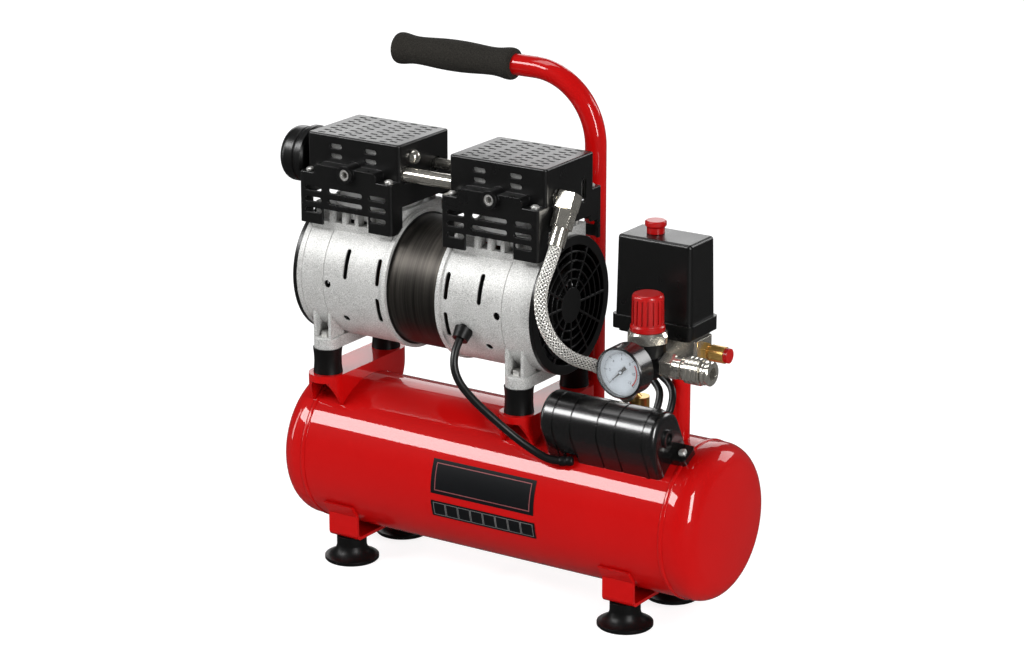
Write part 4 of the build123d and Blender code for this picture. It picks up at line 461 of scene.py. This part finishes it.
def cord_curve(name, route, radius, finish):
    """Round cord on one smooth NURBS curve; the route is in tank millimetres."""
    data = bpy.data.curves.new(name, "CURVE")
    data.dimensions = "3D"
    data.resolution_u = CURVE_STEPS
    data.bevel_depth = radius * MM
    data.bevel_resolution = BEVEL_STEPS
    data.use_fill_caps = True
    spline = data.splines.new("NURBS")
    spline.points.add(len(route) - 1)
    for point, place in zip(spline.points, route):
        point.co = (*at(*place), 1.0)
    spline.order_u = CURVE_ORDER
    spline.use_endpoint_u = True
    cord = bpy.data.objects.new(name, data)
    bpy.context.scene.collection.objects.link(cord)
    return add_to_part(cord, finish)


HOSE_R = 5.8
HOSE_CORE_R = 4.95
HOSE_ROUTE = (
    (63.0, -40.0, 325.86),
    (63.0, -46.65, 314.34),
    (61.9, -62.0, 293.9),
    (66.5, -67.3, 269.8),
    (75.1, -61.1, 247.0),
    (85.9, -45.2, 231.0),
    (94.7, -29.7, 224.7),
    (101.54, -20.73, 217.67),
    (108.44, -14.37, 208.25),
)
hose_core = cord_curve("hose_core", HOSE_ROUTE, HOSE_CORE_R, "cable_black")
print("hose core through", len(HOSE_ROUTE), "points")

# %% [markdown]
# Three black leads carry the current: one from the motor down to the capacitor cover, and two from
# below the pressure switch. Each stands for its CAD tube, which is hidden. The table also lists each
# lead's real length in metres, which is not used.

# %% Leads
LEAD_R = 3.5
LEAD_ROUTE = (
    (-18.1, -64.41, 236.53),
    (-18.1, -75.02, 225.93),
    (-11.5, -80.5, 207.0),
    (6.0, -79.5, 190.0),
    (25.5, -74.5, 174.0),
    (43.5, -67.5, 158.5),
    (60.0, -62.0, 147.5),
    (74.5, -59.5, 142.5),
    (86.0, -54.6, 143.6),
)
SWITCH_LEAD_R = 3.2
FRONT_LEAD_ROUTE = (
    (126.0, -11.0, 246.0),
    (126.0, -11.0, 234.0),
    (132.2, -12.8, 223.7),
    (150.7, -17.0, 213.8),
    (157.0, -21.51, 205.41),
    (157.0, -28.57, 195.7),
)
REAR_LEAD_ROUTE = (
    (141.0, -11.0, 246.0),
    (141.0, -11.0, 234.0),
    (148.0, -11.8, 222.0),
    (162.2, -14.2, 215.2),
    (169.5, -21.51, 205.41),
    (169.5, -28.57, 195.7),
)

for name, route, radius, node, length in (
    ("motor_lead_cord", LEAD_ROUTE, LEAD_R, "motor_lead", 0.158),
    ("switch_lead_front_cord", FRONT_LEAD_ROUTE, SWITCH_LEAD_R, "switch_lead_front", 0.068),
    ("switch_lead_rear_cord", REAR_LEAD_ROUTE, SWITCH_LEAD_R, "switch_lead_rear", 0.067),
):
    cord = cord_curve(name, route, radius, "cable_black")
    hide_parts(node)
    print("cord", name)

# %% [markdown]
# The hose wears a braid of steel wire, and its strands have to follow the hose. So the points of the
# hose's own curve are read back from a copy with no bevel. Two side directions are carried from point
# to point without twist, because a strand is placed by its angle between them.

# %% Points and side directions along the hose
def centreline(curve):
    """Points of a cord's own curve, read from a copy with no bevel."""
    bare = curve.copy()
    bare.data = curve.data.copy()
    bare.data.bevel_depth = 0.0
    bpy.context.scene.collection.objects.link(bare)
    bpy.context.view_layer.update()
    seen = bare.evaluated_get(bpy.context.evaluated_depsgraph_get())
    mesh = bpy.data.meshes.new_from_object(seen)
    points = [vertex.co.copy() for vertex in mesh.vertices]
    bpy.data.objects.remove(bare)
    return points


def carried_frames(points):
    """Side directions carried along a line without twist, and the length run so far."""
    side = (points[1] - points[0]).orthogonal().normalized()
    frames, run = [], 0.0
    for index, point in enumerate(points):
        ahead = points[min(index + 1, len(points) - 1)] - points[max(index - 1, 0)]
        ahead.normalize()
        side = (side - ahead * side.dot(ahead)).normalized()
        if index:
            run += (point - points[index - 1]).length
        frames.append((point, side, ahead.cross(side), run))
    return frames


hose_frames = carried_frames(centreline(hose_core))
print("points along the hose:", len(hose_frames))

# %% [markdown]
# On the real hose bundles of wire run round the tube in two families of helices that pass over and
# under each other. A bump pattern would look flat at the hose's edge, so every strand is a real one: a
# cosine along the strand lifts it over one crossing and lowers it under the next.

# %% Braid of the hose
STRANDS = 10
STRAND_R = 0.76
WEAVE = 0.26
BRAID_SLOPE = 0.8
BRAID_R = (HOSE_R - WEAVE - STRAND_R) * MM
TURN_RATE = BRAID_SLOPE / BRAID_R


def braid(frames):
    """Both families of strands as one mesh."""
    data = bpy.data.curves.new("hose_braid", "CURVE")
    data.dimensions = "3D"
    data.bevel_depth = STRAND_R * MM
    data.bevel_resolution = 0
    for way in (-1, 1):
        for strand in range(STRANDS):
            spline = data.splines.new("POLY")
            spline.points.add(len(frames) - 1)
            for target, (point, side, up, run) in zip(spline.points, frames):
                angle = 2 * pi * strand / STRANDS + way * TURN_RATE * run
                lift = BRAID_R + way * WEAVE * MM * cos(STRANDS * TURN_RATE * run)
                target.co = (*(point + (side * cos(angle) + up * sin(angle)) * lift), 1.0)
    piece = bpy.data.objects.new("hose_braid", data)
    bpy.context.scene.collection.objects.link(piece)
    start_fresh()
    make_active(piece)
    bpy.ops.object.convert(target="MESH")
    bpy.ops.object.shade_smooth()
    return settle("hose_braid", "steel_braid")


hose_braid = braid(hose_frames)
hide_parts("braided_hose")
print("braid triangles", 2 * len(hose_braid.data.polygons))

# %% [markdown]
# The grip is a foam sleeve, thick at its ends and in the middle. A lathe of its outline would do, but
# drawing it out is closer to handwork: it starts as a circle, and each station of the profile is one
# extrusion along the bar, followed by a resize. One level of subdivision then rounds the flares. It
# stands for the CAD sleeve, which is hidden.

# %% Foam grip
ROUNDED = radians(50)
GRIP_START_X = -50.0
GRIP_AXIS = (71.9, 447.6)
GRIP_SIDES = 40
GRIP_STATIONS = (
    (0.0, 12.4), (1.2, 13.8), (4.0, 14.45), (8.0, 14.3), (14.0, 13.1), (21.0, 12.3), (32.0, 12.7),
    (47.0, 13.9), (63.0, 14.35), (79.0, 13.9), (94.0, 12.7), (105.0, 12.3), (112.0, 13.1),
    (118.0, 14.3), (122.0, 14.45), (124.8, 13.6), (126.0, 11.5), (126.0, 6.0),
)


def draw_out(start, ahead, turn, stations, sides):
    """Round bar: a filled circle, then one extrusion and one resize for each (reach, radius)."""
    start_fresh()
    reach, radius = stations[0]
    bpy.ops.mesh.primitive_circle_add(
        vertices=sides, radius=radius * MM, fill_type="NGON",
        location=start + ahead * reach * MM, rotation=turn,
    )
    bpy.ops.object.mode_set(mode="EDIT")
    bpy.ops.mesh.select_all(action="SELECT")
    for next_reach, next_radius in stations[1:]:
        step = ahead * (next_reach - reach) * MM
        bpy.ops.mesh.extrude_region_move(
            TRANSFORM_OT_translate={"value": step, "orient_type": "GLOBAL"}
        )
        bpy.ops.transform.resize(
            value=[next_radius / radius] * 3, center_override=start + ahead * next_reach * MM,
            orient_type="GLOBAL",
        )
        reach, radius = next_reach, next_radius
    bpy.ops.mesh.select_all(action="SELECT")
    bpy.ops.mesh.normals_make_consistent(inside=False)
    bpy.ops.object.mode_set(mode="OBJECT")
    apply_modifier("SUBSURF", levels=1, render_levels=1)
    bpy.ops.object.shade_smooth_by_angle(angle=ROUNDED)


def foam_grip():
    start = at(GRIP_START_X, *GRIP_AXIS)
    draw_out(start, Vector((-1, 0, 0)), (0, -pi / 2, 0), GRIP_STATIONS, GRIP_SIDES)
    return settle("foam_grip", "grip_foam")


grip = foam_grip()
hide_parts("handle_grip")
print("grip faces", len(grip.data.polygons))

# %% [markdown]
# The motor's lead goes under the lower edge of the capacitor cover through a small rubber grommet: a
# sleeve with a groove round it for the edge of the hole. It is drawn out along the last stretch of the
# lead in the same way as the grip.

# %% Lead grommet
GROMMET_START = -8.0
GROMMET_SIDES = 24
GROMMET_STATIONS = (
    (0.0, 3.7), (0.8, 4.2), (3.0, 4.4), (5.4, 4.4), (6.0, 3.9), (7.2, 3.9), (7.8, 4.4), (11.0, 4.3),
    (13.0, 3.7),
)


def lead_grommet():
    end = at(*LEAD_ROUTE[-1])
    ahead = (end - at(*LEAD_ROUTE[-2])).normalized()
    turn = ahead.to_track_quat("Z", "Y").to_euler()
    draw_out(end + ahead * GROMMET_START * MM, ahead, turn, GROMMET_STATIONS, GROMMET_SIDES)
    return settle("lead_grommet", "black_rubber")


grommet = lead_grommet()
print("grommet faces", len(grommet.data.polygons))

# %% [markdown]
# The pressed tank ends are smooth domes, on which every facet would show in the gloss. The CAD mesh is
# loose triangles, so a copy of it is merged first. It can then be shaded smooth, except across sharp
# edges, and it stands for the node.

# %% Smooth tank ends
MERGE_REACH = 0.02
SHARP_EDGE = radians(32)


def smooth_copy(node, finish):
    start_fresh()
    source = frame["nodes"][node]
    piece = bpy.data.objects.new(node + "_smooth", source.data.copy())
    piece.matrix_world = source.matrix_world
    bpy.context.scene.collection.objects.link(piece)
    make_active(piece)
    bpy.ops.mesh.customdata_custom_splitnormals_clear()
    bpy.ops.object.mode_set(mode="EDIT")
    bpy.ops.mesh.select_all(action="SELECT")
    bpy.ops.mesh.remove_doubles(threshold=MERGE_REACH * MM)
    bpy.ops.mesh.normals_make_consistent(inside=False)
    bpy.ops.object.mode_set(mode="OBJECT")
    bpy.ops.object.shade_smooth_by_angle(angle=SHARP_EDGE)
    return settle(piece.name, finish)


smooth_heads = smooth_copy("tank_heads", "red_paint")
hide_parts("tank_heads")
print("tank ends faces", len(smooth_heads.data.polygons))

# %% [markdown]
# A weld bead runs round the tank where each pressed end meets the shell. One bead starts as a torus
# and is widened along the tank in edit mode, so that it lies low and broad as a bead does. The other
# is a copy with its own mesh, moved to the other end.

# %% Weld beads
SEAM_X = 185.6
BEAD_HIGH = 0.9
BEAD_HALF_WIDTH = 2.3
BEAD_SEGMENTS = 128
BEAD_SIDES = 12


def weld_bead():
    start_fresh()
    middle = at(SEAM_X, 0, TANK_AXIS_Z)
    bpy.ops.mesh.primitive_torus_add(
        major_segments=BEAD_SEGMENTS, minor_segments=BEAD_SIDES,
        major_radius=TANK_R * MM, minor_radius=BEAD_HIGH * MM,
        location=middle, rotation=(0, pi / 2, 0),
    )
    bpy.ops.object.mode_set(mode="EDIT")
    bpy.ops.mesh.select_all(action="SELECT")
    bpy.ops.transform.resize(
        value=(BEAD_HALF_WIDTH / BEAD_HIGH, 1, 1), center_override=middle, orient_type="GLOBAL"
    )
    bpy.ops.object.mode_set(mode="OBJECT")
    bpy.ops.object.shade_smooth()
    return settle("weld_bead_right", "red_paint")


right_bead = weld_bead()
left_bead = right_bead.copy()
left_bead.data = right_bead.data.copy()
left_bead.data.transform(Matrix.Translation(at(-SEAM_X, 0, 0) - at(SEAM_X, 0, 0)))
left_bead.name = "weld_bead_left"
bpy.context.scene.collection.objects.link(left_bead)
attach(left_bead, BODY)
print("weld bead faces", len(right_bead.data.polygons))

# %% [markdown]
# Two thin plates sit on the front of the tank. A plate could be cut out of a larger cylinder, but it
# would then hang above the shell or sink into it. Here each starts as a flat grid in front of the tank,
# is wrapped on to the shell by a Shrinkwrap modifier, and gets its thickness from Solidify.

# %% Sheets that lie on the tank
SHEET_COLUMNS = 24
SHEET_ROWS = 12
SHEET_SMOOTH = radians(30)


def tank_skin(x, angle, lift):
    """Point on the front of the tank; the angle rises from the horizontal."""
    reach = TANK_R + lift
    return at(x, -reach * cos(radians(angle)), TANK_AXIS_Z + reach * sin(radians(angle)))


def wrapped_sheet(
    name, finish, x_range, angle_range, lift, thick, columns=SHEET_COLUMNS, rows=SHEET_ROWS
):
    """Thin sheet that lies on the tank between limits along it and round it."""
    start_fresh()
    half_turn = radians(angle_range[1] - angle_range[0]) / 2
    tilt = radians(sum(angle_range) / 2)
    bpy.ops.mesh.primitive_grid_add(
        x_subdivisions=columns, y_subdivisions=rows, size=1,
        location=tank_skin(sum(x_range) / 2, degrees(tilt), lift), rotation=(pi / 2 - tilt, 0, 0),
    )
    sheet = bpy.context.object
    sheet.scale = ((x_range[1] - x_range[0]) * MM, 2 * TANK_R * tan(half_turn) * MM, 1)
    bpy.ops.object.transform_apply(location=True, rotation=True, scale=True)
    apply_modifier("SHRINKWRAP", target=frame["nodes"]["tank_shell"], offset=lift * MM)
    apply_modifier("SOLIDIFY", thickness=thick * MM, offset=1.0)
    bpy.ops.object.shade_smooth_by_angle(angle=SHEET_SMOOTH)
    return settle(name, finish)


PLATE_LIFT = 0.12
PLATE_THICK = 0.15
PLATE_X = (-46.5, 60.0)
PLATE_ANGLES = (-1.3, 24.6)
STRIP_X = (-46.8, 61.0)
STRIP_ANGLES = (-19.9, -6.8)

moulded(
    "plate_black", (0.005, 0.0055, 0.0065), roughness=0.45, grain=0.01, edge=0.0, shine=0.15
)
wrapped_sheet("front_plate", "plate_black", PLATE_X, PLATE_ANGLES, PLATE_LIFT, PLATE_THICK)
wrapped_sheet("cell_strip", "plate_black", STRIP_X, STRIP_ANGLES, PLATE_LIFT, PLATE_THICK)
print("plates along X:", PLATE_X, STRIP_X)

# %% [markdown]
# The plates are left bare: the upper one has only a fine border and the lower one a row of empty cells.
# A printed line is as good as flat, so a border is four very thin sheets on the plate, wrapped in the
# same way and joined.

# %% Border and cells
LINE_LIFT = PLATE_LIFT + PLATE_THICK
LINE_THICK = 0.04
LINE_CELLS = 2
BORDER_INSET = 4.0
BORDER_TURN = 2.6
BORDER_LINE = 0.8
STRIP_CELLS = 8
STRIP_MARGIN = 2.0
CELL_INSET = 0.3
CELL_TURN = 1.4
CELL_LINE = 0.5


def inset(limits, margin):
    return limits[0] + margin, limits[1] - margin


def wrapped_border(name, finish, x_range, angle_range, line):
    """Thin rectangular border made of four wrapped strips, joined."""
    (left, right), (low, high) = x_range, angle_range
    turn = degrees(line / TANK_R)
    sides = (
        ((left, right), (low, low + turn), SHEET_COLUMNS, LINE_CELLS),
        ((left, right), (high - turn, high), SHEET_COLUMNS, LINE_CELLS),
        ((left, left + line), (low + turn, high - turn), LINE_CELLS, SHEET_ROWS),
        ((right - line, right), (low + turn, high - turn), LINE_CELLS, SHEET_ROWS),
    )
    strips = [
        wrapped_sheet(f"{name}_{index}", finish, xs, angles, LINE_LIFT, LINE_THICK, columns, rows)
        for index, (xs, angles, columns, rows) in enumerate(sides)
    ]
    start_fresh()
    for strip in strips:
        strip.select_set(True)
    bpy.context.view_layer.objects.active = strips[0]
    bpy.ops.object.join()
    strips[0].name = name


moulded("plate_line", (0.23, 0.06, 0.065), roughness=0.4, grain=0.01, edge=0.0)
moulded("cell_line", (0.16, 0.16, 0.16), roughness=0.4, grain=0.01, edge=0.0)
wrapped_border(
    "front_plate_line", "plate_line", inset(PLATE_X, BORDER_INSET),
    inset(PLATE_ANGLES, BORDER_TURN), BORDER_LINE,
)
row_left, row_right = inset(STRIP_X, STRIP_MARGIN)
pitch = (row_right - row_left) / STRIP_CELLS
for index in range(STRIP_CELLS):
    left = row_left + index * pitch
    wrapped_border(
        f"strip_cell_{index}", "cell_line", inset((left, left + pitch), CELL_INSET),
        inset(STRIP_ANGLES, CELL_TURN), CELL_LINE,
    )
print("cells in the strip:", STRIP_CELLS)

# %% [markdown]
# The gauge's dial carries a scale of ticks over three quarters of a turn, and a red band. An image
# would be quick, but it blurs close up. So one tick is a small bar at the dial's right, and every other
# tick is a copy with its own mesh, turned about the gauge's axis.

# %% Gauge scale
GAUGE_CENTRE = (160.0, 246.5)
DIAL_Y = -90.9
SCALE_R = 16.8
ZERO_TURN = 225.0
FULL_TURN = 270.0
SCALE_STEPS = 60
BIG_STEP = 10
MARK_THICK = 0.06
RED_BAND_R = SCALE_R - 1.8
RED_BAND_TURNS = range(30, -45, -3)


def dial_point(turn, radius, lift=0.0):
    """Point on the dial: degrees anticlockwise from the right, as seen from the front."""
    x, z = GAUGE_CENTRE
    return at(x + radius * cos(radians(turn)), DIAL_Y - lift, z + radius * sin(radians(turn)))


def about_hub(turn):
    """Matrix that turns a mesh about the gauge's axis."""
    hub = Matrix.Translation(dial_point(0, 0))
    return hub @ Matrix.Rotation(-radians(turn), 4, "Y") @ hub.inverted()


def dial_marks(name, finish, turns, radius, length, width):
    """One small bar, copied and turned to each place; all joined to one piece."""
    start_fresh()
    bpy.ops.mesh.primitive_cube_add(
        size=1, location=dial_point(0, radius - length / 2, MARK_THICK / 2)
    )
    first = bpy.context.object
    first.scale = (length * MM, MARK_THICK * MM, width * MM)
    bpy.ops.object.transform_apply(location=True, rotation=True, scale=True)
    for turn in turns[1:]:
        mark = first.copy()
        mark.data = first.data.copy()
        mark.data.transform(about_hub(turn))
        bpy.context.scene.collection.objects.link(mark)
        mark.select_set(True)
    first.data.transform(about_hub(turns[0]))
    make_active(first)
    bpy.ops.object.join()
    return settle(name, finish)


moulded("dial_ink", (0.015, 0.015, 0.017), roughness=0.5, grain=0.01, edge=0.0)
moulded("dial_red", (0.60, 0.02, 0.02), roughness=0.5, grain=0.01, edge=0.0)
every = [ZERO_TURN - FULL_TURN * step / SCALE_STEPS for step in range(SCALE_STEPS + 1)]
big = every[::BIG_STEP]
dial_marks("dial_big_ticks", "dial_ink", big, SCALE_R, length=3.0, width=0.5)
dial_marks("dial_ticks", "dial_ink", every, SCALE_R, length=1.6, width=0.22)
dial_marks("dial_red_band", "dial_red", RED_BAND_TURNS, RED_BAND_R, length=1.2, width=0.95)
print("dial ticks", len(every))

# %% [markdown]
# Plain numbers stand inside the big ticks. A Text object gives clean figures at any size. It is made a
# mesh before its place is applied, so that the export can write it.

# %% Gauge numbers
NUMBER_STEP = 2
NUMBER_R = SCALE_R - 5.6
NUMBER_SIZE = 3.4
NUMBER_LIFT = 0.05
NUMBER_HALF_THICK = 0.03

for index, turn in enumerate(big):
    start_fresh()
    bpy.ops.object.text_add(
        location=dial_point(turn, NUMBER_R, NUMBER_LIFT), rotation=(pi / 2, 0, 0)
    )
    number = bpy.context.object
    number.data.body = str(NUMBER_STEP * index)
    number.data.size = NUMBER_SIZE * MM
    number.data.extrude = NUMBER_HALF_THICK * MM
    number.data.align_x = "CENTER"
    number.data.align_y = "CENTER"
    bpy.ops.object.convert(target="MESH")
    settle(f"dial_number_{NUMBER_STEP * index}", "dial_ink")
print("dial numbers", len(big))

# %% [markdown]
# The object stands on a pale floor. The camera sees the floor nearly white, with the object's shadow on
# it, while mirror-like surfaces see it dim, so that black plastic stays black. More light would bleach
# the object too, so the Light Path node does this: it tells which kind of ray is looking.

# %% Floor
FLOOR_SIZE = 24
FLOOR_PALE = (0.92, 0.92, 0.92, 1)
WHITE = (1, 1, 1, 1)
GLOW = 1.35
GLOW_SHARE = 0.62
DIM_GLOW = 0.08


def studio_floor():
    start_fresh()
    bpy.ops.mesh.primitive_plane_add(size=FLOOR_SIZE, location=(0, 0, 0))
    floor = bpy.context.object
    floor.name = "floor"
    finish = Finish("floor", base_color=FLOOR_PALE, roughness=0.8)
    white = finish.node("ShaderNodeEmission", None, {"Color": WHITE, "Strength": GLOW})
    dim = finish.node("ShaderNodeEmission", None, {"Color": WHITE, "Strength": DIM_GLOW})
    camera_ray = finish.node("ShaderNodeLightPath", output="Is Camera Ray")
    clear_ray = finish.node("ShaderNodeLightPath", output="Is Transmission Ray")
    glossy_ray = finish.node("ShaderNodeLightPath", output="Is Glossy Ray")
    lit = Wire(finish, finish.shader.outputs[0])
    direct = (camera_ray + clear_ray) * GLOW_SHARE
    seen = finish.node("ShaderNodeMixShader", None, {0: direct, 1: lit, 2: white})
    surface = finish.node("ShaderNodeMixShader", None, {0: glossy_ray, 1: seen, 2: dim})
    output = finish.tree.nodes["Material Output"]
    finish.tree.links.new(surface.socket, output.inputs["Surface"])
    floor.data.materials.append(finish.material)


studio_floor()
print("floor side", FLOOR_SIZE, "m")

# %% [markdown]
# A few large soft lights are all the studio there is. A broad panel far behind puts the pale sheen on
# level faces, the key at the left draws the long highlight on the tank, and two upright strips glint on
# edges. One more lamp lights the back, and a faint grey world fills the rest.

# %% Lights
WORLD_STRENGTH = 0.06


def soft_light(name, place, size, power):
    """Rectangular lamp that faces the object; metres and watts."""
    data = bpy.data.lights.new(name, "AREA")
    data.shape = "RECTANGLE"
    data.size, data.size_y = size
    data.energy = power
    lamp = bpy.data.objects.new(name, data)
    lamp.location = place
    lamp.rotation_euler = (Vector(place) - aim).to_track_quat("Z", "Y").to_euler()
    bpy.context.scene.collection.objects.link(lamp)


soft_light("key", place=(-1.57, -1.91, 1.93), size=(1.4, 0.75), power=58)
soft_light("fill_strip", place=(2.1, -1.1, 1.1), size=(0.5, 1.6), power=54)
soft_light("top", place=(-0.6, 0.2, 2.4), size=(1.6, 0.6), power=14)
soft_light("back", place=(1.3, 2.3, 1.4), size=(1.2, 1.2), power=24)
soft_light("panel", place=(-2.1, 3.2, 1.6), size=(3.0, 2.0), power=42)
soft_light("left_strip", place=(-2.4, -1.2, 0.9), size=(0.35, 1.6), power=14)
world = bpy.data.worlds.new("studio")
world.use_nodes = True
background = world.node_tree.nodes["Background"]
background.inputs["Color"].default_value = WHITE
background.inputs["Strength"].default_value = WORLD_STRENGTH
bpy.context.scene.world = world
print("lights ready:", len(bpy.data.lights))
